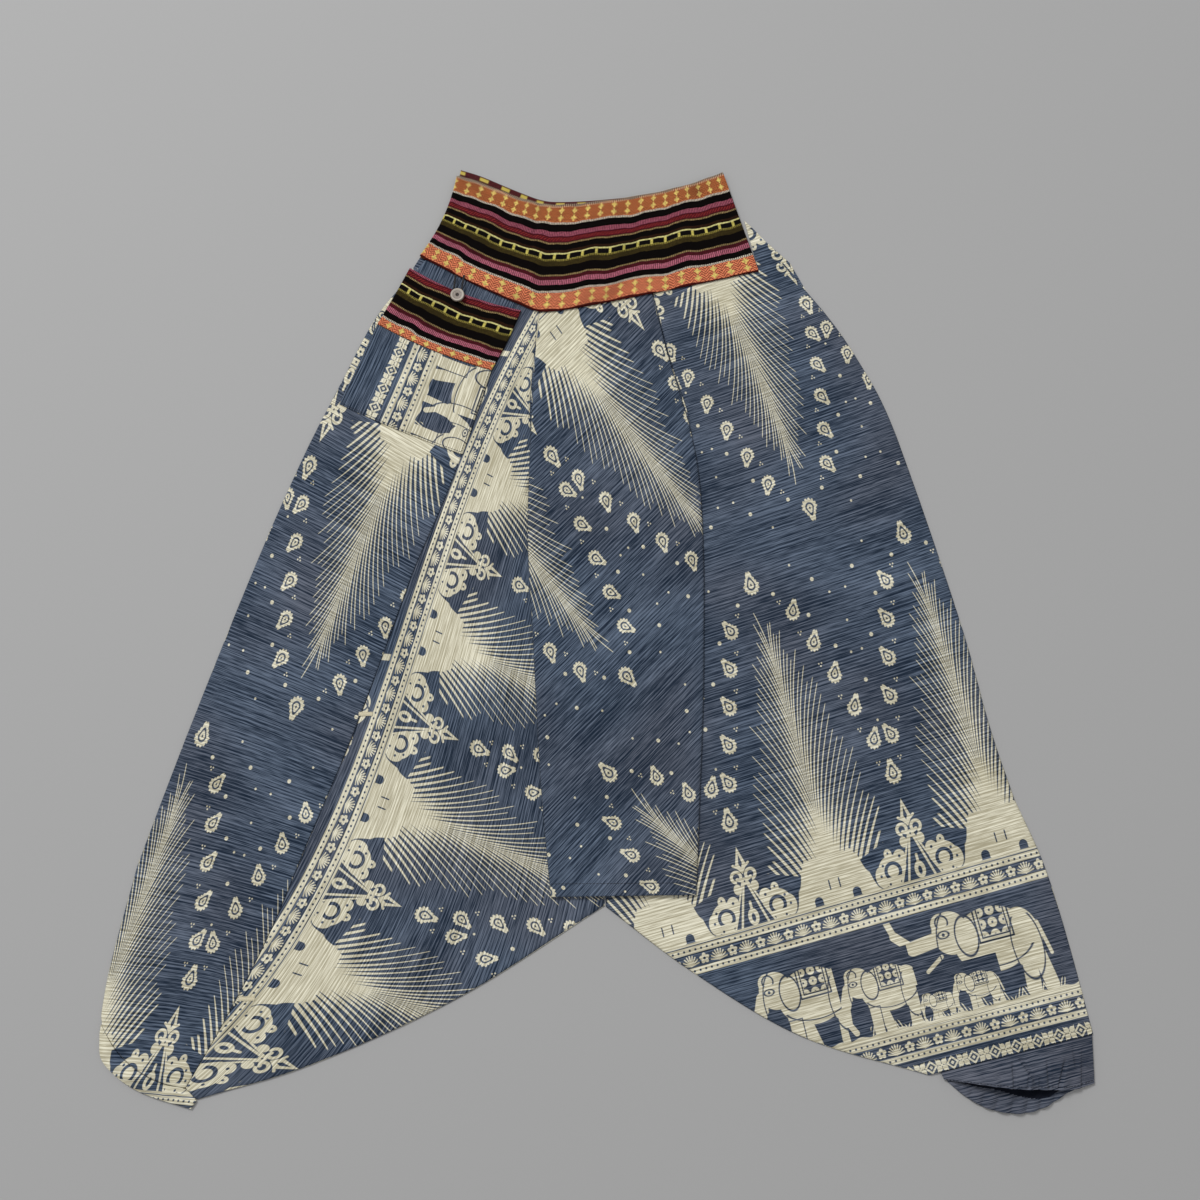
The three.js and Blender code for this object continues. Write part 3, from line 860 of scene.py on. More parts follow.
# Front of the wearer's right leg: two panels of the cotton that meet at the long curved
# seam, the inner one cut so that the border runs down beside the seam.
RIGHT_LEG = table(
    "side_x side_y seam_x seam_y fold_x fold_y bow turn",
    [
        (-183, 372, -83, 326, -60, 322),
        (-231, 309, -104, 266, -66, 262),
        (-267, 231, -127, 190, -69, 190),
        (-300, 155, -153, 111, -58, 110),
        (-338, 53, -184, 31, -45, 20),
        (-376, -60, -212, -56, -25, -85),
        (-409, -163, -243, -148, -3, -190),
        (-438, -258, -277, -237, 7, -295, 0, 1),
        (-455, -345, -308, -320, -125, -376),
        (-460, -388, -345, -398, -258, -435, 5),
        (-459, -401, -377, -457, -366, -467, 13),
    ],
)
OUTER_MARKS = table(
    "photo_x photo_y u v",
    [
        (172.4, 1015, 88, 78), (184.6, 978.4, 88, eye_up(0)),
        (110, 1040, 12, 48), (142, 925, 8, 150),
        (128, 1065, 61, 16), (172, 1073, 114, 16), (150, 1084, 88, 3),
        (189.3, 939.2, 88 - eye_off(1), eye_up(1)), (211.6, 947.1, 88 + eye_off(1), eye_up(1)),
        (207.6, 854.2, 88 - eye_off(3), eye_up(3)), (263.1, 873.9, 88 + eye_off(3), eye_up(3)),
        (212.4, 777.1, 88 - eye_off(5), eye_up(5)), (317.5, 816.3, 88 + eye_off(5), eye_up(5)),
        (205, 722.2, 0, TIP_EYE), (296.3, 714.5, 88, 366),
        (306, 473.7, 0, CLOTH_RISE - eye_up(0)), (294.7, 547.5, eye_off(2), CLOTH_RISE - eye_up(2)),
        (287.6, 623, eye_off(4), CLOTH_RISE - eye_up(4)),
        (359.2, 655.9, 176 - eye_off(4), CLOTH_RISE - eye_up(4)),
        (399.3, 596.3, 176 - eye_off(2), CLOTH_RISE - eye_up(2)),
        (320.1, 438, 0, 599), (402.5, 445, 88, 629),
    ],
)
INNER_MARKS = table(
    "photo_x photo_y u v",
    [
        (556.4, 338.8, 0, 24), (496.1, 481.6, 176, 24), (440.3, 639, 352, 24),
        (384.5, 803.3, 528, 24), (308.1, 973.9, 704, 24),
        (538.2, 428.4, 88, 78), (506.3, 576, 264, 78), (450.5, 735.1, 440, 78),
        (394.8, 905.7, 616, 78), (292.9, 1065.7, 792, 78),
        (507, 772, 440 + eye_off(1), eye_up(1)), (428.8, 917.3, 616, eye_up(0)),
        (502, 922, 616 - eye_off(2), eye_up(2)), (488, 962, 616 + eye_off(2), eye_up(2)),
        (571, 928, 616 - eye_off(4), eye_up(4)),
        (491, 457.1, 156, 5), (434, 614.5, 332, 5), (306.1, 949.6, 684, 5),
    ],
)


def fitted(marks):
    rows = [(*seen_at(mark["photo_x"], mark["photo_y"]), mark["u"], mark["v"]) for mark in marks]
    return print_fit(rows, 0.002)


outer_print = fitted(OUTER_MARKS)
MOUTH_START = (-199.0, 361.0)
MOUTH_RUN = (0.925, -0.38)
PLAIN_CLOTH = -240.0


def outer_cloth(x, y, ab):
    """The printed panel, with a plain facing behind the pocket's mouth."""
    uv = outer_print(x, y, ab)
    along = (x - MOUTH_START[0]) * MOUTH_RUN[0] + (y - MOUTH_START[1]) * MOUTH_RUN[1]
    over = (x - MOUTH_START[0]) * -MOUTH_RUN[1] + (y - MOUTH_START[1]) * MOUTH_RUN[0]
    facing = np.stack([over, PLAIN_CLOTH - along], -1)
    return np.where(((over > -25) & (along > -8))[:, None], facing, uv)


inner_cloth = fitted(INNER_MARKS)
LEG_TOP = FRONT_LEVEL + CLOTH
SIDE_FOLD = dict(radius=5.0, depth=1.4)
SEAM_FOLD = dict(radius=3.0, depth=0.8)


def front_height(x, y):
    return LEG_TOP + fold_lift(x, y) + ripple(x, y)


def rolled(left_side, right_side):
    """Height of a front panel whose two sides dip as they fold or meet a seam."""
    return lambda x, y, a, b, left, right: (
        front_height(x, y) - roll(left, **left_side) - roll(right, **right_side)
    )


outer_panel = dict(rows=RIGHT_LEG, start="side", finish="seam", finish_inset=0.15)
inner_panel = dict(rows=RIGHT_LEG, start="seam", finish="fold", start_inset=0.15,
                   finish_inset=0.3, bowed=False)
right_outer = lay_cloth("right_leg_outer_front", outer_panel, 90, 300,
                        rolled(SIDE_FOLD, SEAM_FOLD), outer_cloth, printed_cotton)
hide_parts("front_right_outer")
right_inner = lay_cloth("right_leg_inner_front", inner_panel, 110, 300,
                        rolled(SEAM_FOLD, SIDE_FOLD), inner_cloth, printed_cotton)
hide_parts("front_right_inner")
TACKS = table(
    "from_x from_y to_x to_y",
    [(239, 998, 254, 998), (239, 999.4, 254, 999.4), (359, 713, 372, 713), (359, 714.4, 372, 714.4)],
)
tack_lines = []
for tack in TACKS:
    ends = [seen_at(tack["from_x"], tack["from_y"]), seen_at(tack["to_x"], tack["to_y"])]
    tack_lines.append([(x, y, front_height(x, y) + 0.5) for x, y in ends])
tacks = sewn("seam_bar_tacks", tack_lines, CREAM_THREAD, pitch=0.8, length=2.6, radius=0.4, slant=80)

# Front of the wearer's left leg: one panel with a border along both its ends.
LEFT_LEG = table(
    "fold_x fold_y side_x side_y bow turn",
    [
        (57, 341, 196, 368),
        (75, 260, 245, 303),
        (95, 188, 275, 252),
        (94, 127, 299, 200),
        (82, 45, 322, 125),
        (68, -25, 346, 37),
        (52, -100, 366, -42),
        (27, -192, 384, -129),
        (8, -296, 402, -195, 0, 1),
        (87, -354, 426, -258),
        (188, -412, 443, -328),
        (304, -446, 459, -410),
    ],
)
LEFT_MARKS = table(
    "photo_x photo_y u v",
    [
        (836.5, 879, 0, 24), (1004, 834, 176, 24), (664.5, 921.7, -176, 24),
        (737.7, 858.7, -88, 78), (902.5, 805.9, 88, 78),
        (848, 703, 88 - eye_off(2), eye_up(2)), (884, 690, 88 + eye_off(2), eye_up(2)),
        (808, 637, 88 - eye_off(4), eye_up(4)), (885, 615, 88 + eye_off(4), eye_up(4)),
        (752, 578, 0, TIP_EYE), (902, 532, 176, TIP_EYE),
        (728.8, 743.5, -88 + eye_off(2), eye_up(2)), (731, 666, -88 + eye_off(4), eye_up(4)),
        (664.7, 353.1, 0, CLOTH_RISE - eye_up(0)), (714.2, 401.5, eye_off(2), CLOTH_RISE - eye_up(2)),
        (753.1, 458.4, eye_off(4), CLOTH_RISE - eye_up(4)), (811, 516.2, 88, 366),
        (825.7, 433.1, 176 - eye_off(4), CLOTH_RISE - eye_up(4)),
        (820.4, 362.6, 176 - eye_off(2), CLOTH_RISE - eye_up(2)),
        (802.5, 300.5, 176, CLOTH_RISE - eye_up(0)),
        (1041.8, 852.8, 207, -4), (1046.2, 873.3, 207, -24.2), (1079.9, 987.7, 209, -134.5),
        (1087.2, 1014, 211, -155), (1091.6, 1028.7, 211, -169.5), (871.7, 1044.9, -7, -134.5),
        (939.1, 1024.3, 60, -134.5),
    ],
)
left_cloth = fitted(LEFT_MARKS)
left_panel = dict(rows=LEFT_LEG, start="fold", finish="side", start_inset=0.3)
left_front = lay_cloth("left_leg_front", left_panel, 150, 300, rolled(SIDE_FOLD, SIDE_FOLD),
                       left_cloth, printed_cotton)
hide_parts("front_left_leg")

# The wide centre pleat: a flap of the front cloth that lies over both legs, folded under
# along its two sides, with the pleat's hidden layers in it.
FLAP = table(
    "left_x left_y right_x right_y",
    [
        (-59, 322, 56, 341),
        (-65, 262, 74, 260),
        (-68, 190, 94, 188),
        (-70, 127, 104, 127),
        (-70, 59, 107, 45),
        (-65, -19, 106, -25),
        (-60, -100, 104, -100),
        (-54, -187, 99, -192),
        (-44, -287, 94, -285),
    ],
)
PLEAT_RISE = 4.2
PLEAT_START_Y = 260
PLEAT_FULL_Y = 150
FLAP_MARKS = table(
    "photo_x photo_y u v",
    [
        (556.4, 338.8, 0, 24), (538.2, 428.4, 88, 78), (554.2, 458.7, 88, eye_up(0)),
        (607.6, 500.8, 88 - eye_off(2), eye_up(2)), (582.1, 528.9, 88 + eye_off(2), eye_up(2)),
        (665.4, 535.9, 88 - eye_off(4), eye_up(4)), (609.9, 596.5, 88 + eye_off(4), eye_up(4)),
        (619.5, 629, 88 + eye_off(5), eye_up(5)), (629.8, 679.8, 176, TIP_EYE),
        (550.4, 652.1, 264 - eye_off(4), eye_up(4)),
        (664.7, 353.1, -88, eye_up(0)), (684.7, 418.8, -88 + eye_off(2), eye_up(2)),
        (644.7, 327.9, -88, 78), (603, 769, 264, 366), (687.9, 790.5, 217.1, 437.6),
        (617.3, 823.6, 299, 403), (651.3, 887.9, 322.1, 472.2),
    ],
)
flap_cloth = fitted(FLAP_MARKS)
FLAP_ROLL = 4.5


def flap_height(x, y, a, b, left, right):
    rise = PLEAT_RISE * (1 - smooth(y, PLEAT_FULL_Y, PLEAT_START_Y))
    turned = roll(left, FLAP_ROLL, 0.6 + 0.55 * rise) + roll(right, FLAP_ROLL, 0.6 + 0.55 * rise)
    return front_height(x, y) + rise - turned


flap_panel = dict(rows=FLAP, start="left", finish="right")
flap = lay_cloth("centre_flap", flap_panel, 110, 260, flap_height, flap_cloth, printed_cotton)
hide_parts("front_centre_flap")
hem_marks = [(a, 0.985) for a in np.linspace(0.02, 0.98, 60)]
hem_line = line_on(flap_panel, flap_height, hem_marks)
flap_hem = sewn("flap_hem_stitches", [hem_line], DARK_THREAD, pitch=3.2, length=2.3, radius=0.22,
                slant=0)


def underlay_height(x, y, a, b, left, right):
    rounded = 1 - abs(2 * a - 1) ** 6
    tapered = smooth(b, -0.2, 0.25)
    return UPPER_LEVEL + 0.8 + 1.4 * rounded * tapered


underlay_panel = dict(rows=[row for row in FLAP if row["left_y"] < PLEAT_FULL_Y], start="left",
                      finish="right", start_inset=5, finish_inset=5)
underlay = lay_cloth("pleat_folds", underlay_panel, 40, 60, underlay_height, flap_cloth,
                     printed_cotton)
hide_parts("pleat_underlay")

# Backs of both legs: single layers of the cotton that lie flat on the floor and meet at
# the centre seam.
WAISTBAND = table(
    "front_x front_y back_x back_y hem_x hem_y bow",
    [
        (-152, 470, -148, 478, -189, 375, -6),
        (-130, 463, -125, 470, -170, 364, -3),
        (-93, 447, -88, 453, -132, 343),
        (-62, 437, -60, 442, -86, 321),
        (-40, 435, -38, 440, -58, 311),
        (0, 439, 0, 442, -12, 317),
        (57, 449, 57, 449, 50, 330),
        (100, 460, 99, 459, 114, 344),
        (135, 474, 134, 472, 171, 357),
    ],
)
SHOWING_CORNER = [
    (171.6, 356.4), (166.8, 379), (160, 408), (157.6, 418), (167, 408), (180, 393), (205, 368),
]
CENTRE_X, CENTRE_Y = -9, 317
BACK_LEVEL = 1.2
BACK_SHELL = 0.8


def straight_cloth(hem_x, hem_y, top_x, top_y, hem_v, middle_u):
    """Cloth laid square on the leg: v runs from the middle of its hem to the waist."""
    run = Vector((top_x - hem_x, top_y - hem_y)).normalized()

    def marks(x, y, ab=None):
        up = (x - hem_x) * run.x + (y - hem_y) * run.y
        along = (x - hem_x) * run.y - (y - hem_y) * run.x
        return np.stack([along + middle_u, up + hem_v], -1)

    return marks


def edge_points(rows, name, count, first=0.0, last=1.0):
    return [
        (through(rows, name + "_x", t), through(rows, name + "_y", t))
        for t in np.linspace(first, last, count + 1)
    ]


def flat_piece(name, outline, cloth_uv, material):
    """A single layer on the floor, with its own thickness."""
    ring = [(x, y, BACK_LEVEL) for x, y in outline]
    piece = meshed(name, ring, [tuple(range(len(ring)))], material)
    mesh = piece.data
    if mesh.polygons[0].normal.z < 0:
        mesh.flip_normals()
    layer = mesh.uv_layers.new(name="cloth")
    for loop in mesh.loops:
        x, y = outline[loop.vertex_index]
        layer.data[loop.index].uv = cloth_uv(np.array([x]), np.array([y]))[0] * MM
    thicken(piece, BACK_SHELL)
    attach(piece, "root")
    return piece


def turn_share(rows):
    return [bool(row.get("turn")) for row in rows].index(True) / (len(rows) - 1)


band_edge = [(x, y - 0.3) for x, y in edge_points(WAISTBAND, "hem", 48)]
right_end = [place_on(outer_panel, share, 1)[:2] for share in np.linspace(1, 0, 18)]
right_back = flat_piece(
    "right_leg_back",
    [point for point in band_edge if point[0] < CENTRE_X - 4]
    + [(CENTRE_X, CENTRE_Y - 0.3)]
    + edge_points(RIGHT_LEG, "fold", 60, turn_share(RIGHT_LEG), 1)
    + right_end[:-1]
    + edge_points(RIGHT_LEG, "side", 110, 0.05, 1)[::-1],
    straight_cloth(hem_x=-412, hem_y=-440, top_x=-110, top_y=350, hem_v=-190, middle_u=40),
    printed_cotton,
)
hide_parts("back_right_leg")
left_back = flat_piece(
    "left_leg_back",
    [(CENTRE_X + 0.3, CENTRE_Y - 0.3)]
    + [point for point in band_edge if point[0] > CENTRE_X + 4]
    + SHOWING_CORNER
    + edge_points(LEFT_LEG, "side", 120, 0.045, 1)
    + [(x + 0.3, y) for x, y in edge_points(LEFT_LEG, "fold", 60, turn_share(LEFT_LEG), 1)][::-1],
    straight_cloth(hem_x=380, hem_y=-425, top_x=90, top_y=340, hem_v=-190, middle_u=60),
    printed_cotton,
)
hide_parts("back_left_leg")

# The waistband: a thick woven band with stripes, rows of small stars and a ladder, sewn to
# the legs by its lower edge; its back half's wrong side shows above the front half.
BAND_CLOTH = 2.0
BAND_HEIGHT = 114.0
BAND_STRIPES = [
    (2.4, "0.10 0.02 0.015", 0),
    (17.5, "0.66 0.22 0.075", 0),
    (2.2, "0.85 0.76 0.62", 1),
    (7.5, "0.0030 0.0020 0.0018", 0),
    (4.7, "0.50 0.13 0.19", 1),
    (7.0, "0.085 0.008 0.014", 0),
    (1.8, "0.42 0.30 0.13", 1),
    (6.0, "0.0030 0.0020 0.0018", 0),
    (3.4, "0.030 0.012 0.006", 0),
    (1.6, "0.80 0.74 0.30", 0),
    (5.4, "0.72 0.62 0.15", 0),
    (1.8, "0.34 0.28 0.06", 1),
    (5.4, "0.050 0.036 0.010", 0),
    (9.2, "0.0030 0.0020 0.0018", 0),
    (1.8, "0.42 0.30 0.13", 1),
    (4.2, "0.080 0.010 0.015", 0),
    (5.2, "0.66 0.19 0.27", 1),
    (6.0, "0.0030 0.0020 0.0018", 0),
    (2.2, "0.85 0.76 0.62", 1),
    (16.9, "1.0 0.31 0.15", 0),
    (1.8, "0.085 0.010 0.008", 0),
]
UPPER_STARS = 11.2
LOWER_STARS = 103.8
LADDER = 56.8
DOTTED_RED = 38.0


def stripe_ramp(place, values):
    node = loom.nodes.new("ShaderNodeValToRGB")
    node.color_ramp.interpolation = "CONSTANT"
    feed(node.inputs["Fac"], place)
    low = 0.0
    for k, (width, value) in enumerate(values):
        if k > 1:
            node.color_ramp.elements.new(min(low / BAND_HEIGHT, 1.0))
        stop = node.color_ramp.elements[k]
        stop.position = min(low / BAND_HEIGHT, 1.0)
        stop.color = (*value, 1)
        low += width
    return Number(node.outputs["Color"])


band_finish, shader = new_finish("woven_band", roughness=0.9, specular=0.04)
place = cloth_place()
U, V = apart(place)
V = V + 9.0 * (cloud(spot(U * 0.030, V * 0.008), 1.0, 1.0) - 0.5)
V = V + 1.3 * (cloud(place, 0.16, 3.0) - 0.5) + 0.7 * (cloud(spot(U * 1.4, V * 0.4), 1.0, 1.0) - 0.5)
stripes = stripe_ramp(
    V / BAND_HEIGHT, [(w, tuple(float(c) for c in colour.split())) for w, colour, _ in BAND_STRIPES]
)
dotted = stripe_ramp(V / BAND_HEIGHT, [(w, (d, d, d)) for w, _, d in BAND_STRIPES])
thread = ink(maths("SINE", U * 3.3) + 0.15, 0.5)
shaded = blend(dotted * (1 - thread) * 0.8, stripes, (0.018, 0.006, 0.006, 1))
STAR_YELLOW = (0.93, 0.70, 0.20, 1)
STAR_PITCH = 15.0
lower = above(V, LADDER)
row = V - UPPER_STARS - lower * (LOWER_STARS - UPPER_STARS)
in_orange = ink(8.4 - size(row), 0.4)
chevron = size(wrap(U, STAR_PITCH / 2)) * 1.1 + row
twill = ink(maths("SINE", chevron * 2.1) - 0.2, 0.4)
shaded = blend(in_orange * twill * 0.8, shaded, (0.15, 0.012, 0.010, 1))
star_x = size(wrap(U, STAR_PITCH))
star_y = size(size(row) - 3.9)
star = most(least(3.1 - star_x, 0.9 - star_y), least(3.3 - star_y, 0.9 - star_x),
            2.9 - star_x - star_y)
shaded = blend(ink(star, 0.5), shaded, STAR_YELLOW)
rung = least(size(wrap(U, STAR_PITCH)) - 1.4, 2.7 - size(V - LADDER))
shaded = blend(ink(rung), shaded, (0.005, 0.004, 0.004, 1))
seed = least(0.9 - size(wrap(U + V, 3.4)), 1.7 - size(V - DOTTED_RED))
shaded = blend(ink(seed, 0.5), shaded, (0.28, 0.030, 0.030, 1))
wear = cloud(place, 0.5, 4.0)
ribs = maths("SINE", V * 7.0) * 0.5 + 0.5
picks = maths("SINE", U * 6.2 + V * 2.5) * 0.5 + 0.5
grain = 0.6 * soft(wear, 0.36, 0.60) + 0.2 * ribs + 0.2 * picks
# Broad soft darker patches along the band: painted shade of its gathers. The finer mottle, ribs and
# picks are the weave's texture.
grain = grain * soft(cloud(place, 0.022, 2.0), 0.22, 0.50)
lit = blend(grain * 0.85 + 0.15, blend(0.70, shaded, (0.004, 0.003, 0.003, 1)), shaded)
feed(shader.inputs["Base Color"], lit)
relief = ribs * 0.5 + picks * 0.4 + wear * 0.6 + ink(star, 0.8) * 0.5
raised(shader, relief, strength=0.5)

# The wrong side of the band, which shows above the front half: dark red with loose floats
reverse_finish, shader = new_finish("woven_band_reverse", roughness=0.9, specular=0.15)
U, V = apart(cloth_place())
floats = least(5.0 - size(wrap(U, 26.0)), 1.8 - size(wrap(V - 3.0, 9.0)))
fibres = cloud(spot(U * 1.5, V * 0.5), 1.0, 3.0)
plain = blend(soft(fibres, 0.3, 0.7), (0.035, 0.006, 0.007, 1), (0.10, 0.018, 0.020, 1))
feed(shader.inputs["Base Color"], blend(ink(floats, 0.8) * 0.9, plain, (0.60, 0.48, 0.10, 1)))
raised(shader, fibres, strength=0.5)

BAND_WAVES = 10
BAND_SHELL = 1.3
BACK_BAND_SHELL = 0.9
BAND_CREASES = table(
    "from_x from_y to_x to_y depth width",
    [
        (452, 196, 470, 212, 1.3, 4), (462, 204, 500, 246, 1.1, 4), (496, 242, 522, 256, 0.9, 4),
        (560, 206, 566, 232, 0.6, 5), (618, 206, 622, 240, 0.6, 5), (660, 250, 668, 290, 0.6, 5),
        (706, 186, 716, 214, 0.6, 5), (590, 262, 594, 298, 0.6, 5), (540, 216, 530, 250, 0.6, 5),
        (640, 210, 650, 236, 0.5, 4), (700, 246, 712, 280, 0.6, 5), (470, 250, 486, 284, 0.6, 5),
    ],
)


def band_height(x, y, a, b, left, right):
    wave = (1 - a) * (1 + math.sin(2 * math.pi * BAND_WAVES * b)) / 2
    pucker = 0.3 * noise.noise(Vector((b * 42, a * 3, 1.5)))
    top = UPPER_LEVEL + BAND_CLOTH + fold_lift(x, y) + ripple(x, y) + wave + pucker
    dip = crease_dip(x, y, BAND_CREASES)
    return top - dip - roll(left, 4.0, 1.6) - roll(right, 2.5, 0.9)


RUN_SHARES = np.linspace(0, 1, 200)
middle_line = np.array([
    [(through(WAISTBAND, "front" + axis, b) + through(WAISTBAND, "hem" + axis, b)) / 2
     for axis in ("_x", "_y")] for b in RUN_SHARES
])
BAND_RUN = np.concatenate([[0], np.cumsum(np.hypot(*np.diff(middle_line, axis=0).T))])


def band_cloth(x, y, ab):
    """The woven pattern runs evenly along the band's middle line."""
    return np.stack([np.interp(ab[:, 1], RUN_SHARES, BAND_RUN), ab[:, 0] * BAND_HEIGHT], -1)


front_band_panel = dict(rows=WAISTBAND, start="front", finish="hem")
front_band = lay_cloth("waistband_front_half", front_band_panel, 70, 240, band_height,
                       band_cloth, band_finish, BAND_SHELL)
front_band.data.materials.append(reverse_finish)
front_band.modifiers["thickness"].material_offset = 1
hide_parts("waistband_front")
edge_marks = [(0.020 + 0.002 * (k % 2), b) for k, b in enumerate(np.linspace(0.004, 0.996, 240))]
edge_line = line_on(front_band_panel, band_height, edge_marks)
overlock = sewn("waistband_overlock", [edge_line], CREAM_THREAD, pitch=2.1, length=3.8,
                radius=0.26, slant=76)


def level(height):
    return lambda x, y, a, b, left, right: height


back_band_panel = dict(rows=WAISTBAND, start="back", finish="hem")
back_band = lay_cloth("waistband_back_half", back_band_panel, 40, 160, level(BACK_LEVEL + 0.1),
                      band_cloth, reverse_finish, BACK_BAND_SHELL)
back_band.data.materials.append(band_finish)
back_band.modifiers["thickness"].material_offset = 1
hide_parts("waistband_back")

# The patch pocket: a bag of the cotton cut with the border upright, and a strip of the
# same woven band round its mouth.
POCKET_BAND = table(
    "left_x left_y right_x right_y bow",
    [(-199, 361, -80, 312, 6), (-214, 330, -95, 275, 5), (-231, 297, -110, 245, 4)],
)
POCKET_BAG = table(
    "left_x left_y right_x right_y bow",
    [(-231.2, 296.6, -110.2, 244.6, 4), (-249, 252, -124, 199, 2), (-267, 208, -138, 153, 2)],
)
POCKET_LIFT = 1.0
POCKET_WIDTH = 132.0
BAG_DEPTH = 96
MOUTH_DEPTH = 72


def bag_height(x, y, a, b, left, right):
    top = UPPER_LEVEL + CLOTH + ripple(x, y)
    return top - roll(left, 3, 0.7) - roll(right, 3, 0.7) - roll((1 - b) * BAG_DEPTH, 3, 0.7)


def bag_cloth(x, y, ab):
    return np.stack([BAG_DEPTH * ab[:, 1] - 83, POCKET_WIDTH * ab[:, 0] - 203], -1)


bag_panel = dict(rows=POCKET_BAG, start="left", finish="right")
bag = lay_cloth("pocket_cloth", bag_panel, 80, 60, bag_height, bag_cloth, printed_cotton)
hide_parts("pocket_bag")
bag_marks = [(0.015, b) for b in np.linspace(0.02, 0.98, 40)]
bag_marks += [(a, 0.98) for a in np.linspace(0.03, 0.97, 50)]
bag_marks += [(0.985, b) for b in np.linspace(0.98, 0.02, 40)]
bag_line = line_on(bag_panel, bag_height, bag_marks)
bag_sewing = sewn("pocket_stitches", [bag_line], DARK_THREAD, **HEM_STITCH)


def pocket_band_height(x, y, a, b, left, right):
    lift = POCKET_LIFT * (1 - b) ** 2
    top = UPPER_LEVEL + BAND_CLOTH + lift + ripple(x, y) - roll(left, 3, 1.2) - roll(right, 3, 1.2)
    return top - roll(b * MOUTH_DEPTH, 3, 0.9) - roll((1 - b) * MOUTH_DEPTH, 2, 0.6)


def pocket_band_cloth(x, y, ab):
    return np.stack([POCKET_WIDTH * ab[:, 0] + 3, 33 + 71 * ab[:, 1]], -1)


mouth_band = lay_cloth("pocket_mouth_band", dict(rows=POCKET_BAND, start="left", finish="right"),
                       80, 60, pocket_band_height, pocket_band_cloth, band_finish, BAND_SHELL)
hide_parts("pocket_band")

# The button, turned from shell with a dished face, stands on a shank, and the loop of dark
# twisted cord that holds it shut passes round that shank.
BUTTON_PLACE = (-147, 327)
BUTTON_LOW = UPPER_LEVEL + BAND_CLOTH + POCKET_LIFT + CLEARANCE
BUTTON_PROFILE = table(
    "radius height",
    [
        (0.0, 0.0), (2.2, 0.0), (2.2, 2.3), (2.6, 2.6), (6.6, 2.7), (7.3, 3.2), (7.5, 4.0),
        (7.3, 4.9), (6.7, 5.4), (6.0, 5.35), (5.4, 5.0), (4.6, 4.75), (3.4, 4.8), (2.2, 4.9),
        (1.4, 4.4), (0.8, 3.9), (0.0, 3.8),
    ],
)
BUTTON_SIDES = 64


def turned(name, profile, place, low, sides, material):
    """A turned piece, as from a lathe, standing on the cloth."""
    points, faces = [], []
    for row in profile[1:-1]:
        for k in range(sides):
            angle = 2 * math.pi * k / sides
            points.append((place[0] + row["radius"] * math.cos(angle),
                           place[1] + row["radius"] * math.sin(angle), low + row["height"]))
    rings = len(profile) - 2
    for r in range(rings - 1):
        for k in range(sides):
            n = (k + 1) % sides
            faces.append((r * sides + k, r * sides + n, (r + 1) * sides + n, (r + 1) * sides + k))
    points.append((place[0], place[1], low + profile[0]["height"]))
    points.append((place[0], place[1], low + profile[-1]["height"]))
    for k in range(sides):
        n = (k + 1) % sides
        faces.append((n, k, rings * sides))
        faces.append(((rings - 1) * sides + k, (rings - 1) * sides + n, rings * sides + 1))
    piece = meshed(name, points, faces, material, smoothed=True)
    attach(piece, "root")
    return piece


button_finish, shader = new_finish("button_shell", roughness=0.45)
coordinates = loom.nodes.new("ShaderNodeTexCoord")
centre = [(value + shift) * MM for value, shift in zip(BUTTON_PLACE, MIDDLE)]
from_middle = vectors("SUBTRACT", Number(coordinates.outputs["Object"]), (centre[0], centre[1], 0))
x, y = apart(vectors("SCALE", from_middle, scale=1000.0))
radius = vectors("LENGTH", spot(x, y))
grain = cloud(vectors("SCALE", from_middle, scale=1000.0), 0.8, 4.0)
# A pale ring round the crest of the rim: painted highlight of the shiny button.
ring = soft(size(radius - 5.9), 1.3, 0.4)
tone = blend(soft(grain, 0.3, 0.7), (0.16, 0.13, 0.11, 1), (0.30, 0.25, 0.21, 1))
tone = blend(ring * 0.7, tone, (0.55, 0.50, 0.43, 1))
# Near-black in the small pit at the middle: painted shade in the dimple.
tone = blend(soft(radius, 2.3, 1.3), tone, (0.03, 0.02, 0.018, 1))
feed(shader.inputs["Base Color"], tone)
raised(shader, grain, strength=0.3, depth=0.0003)
button = turned("turned_button", BUTTON_PROFILE, BUTTON_PLACE, BUTTON_LOW, BUTTON_SIDES,
                button_finish)
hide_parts("pocket_button")

cord_finish, shader = new_finish("loop_cord", roughness=0.8)
coordinates = loom.nodes.new("ShaderNodeTexCoord")
fuzz = cloud(vectors("SCALE", Number(coordinates.outputs["Object"]), scale=1000.0), 1.6, 4.0)
feed(shader.inputs["Base Color"], blend(soft(fuzz, 0.35, 0.7), (0.006, 0.006, 0.008, 1),
                                        (0.035, 0.032, 0.034, 1)))
raised(shader, fuzz, strength=0.4, depth=0.0003)
LOOP_PATH = [(-3, 24), (-4.1, 8), (-4.1, 0), (0, -4.1), (4.1, 0), (4.1, 8), (6, 24)]
LOOP_RADIUS = 0.75
LOOP_TWIST = 0.5
LOOP_TURNS = 16
LOOP_LEVEL = BUTTON_LOW + 1.0
LOOP_STEPS = 160
LOOP_SIDES = 8


def catmull(points, t):
    spans = len(points) - 1
    k = min(int(t * spans), spans - 1)
    s = t * spans - k
    p = [points[min(max(k + step, 0), spans)] for step in (-1, 0, 1, 2)]
    return tuple(
        0.5 * (2 * p[1][i] + (p[2][i] - p[0][i]) * s
               + (2 * p[0][i] - 5 * p[1][i] + 4 * p[2][i] - p[3][i]) * s**2
               + (3 * p[1][i] - p[0][i] - 3 * p[2][i] + p[3][i]) * s**3)
        for i in range(2)
    )


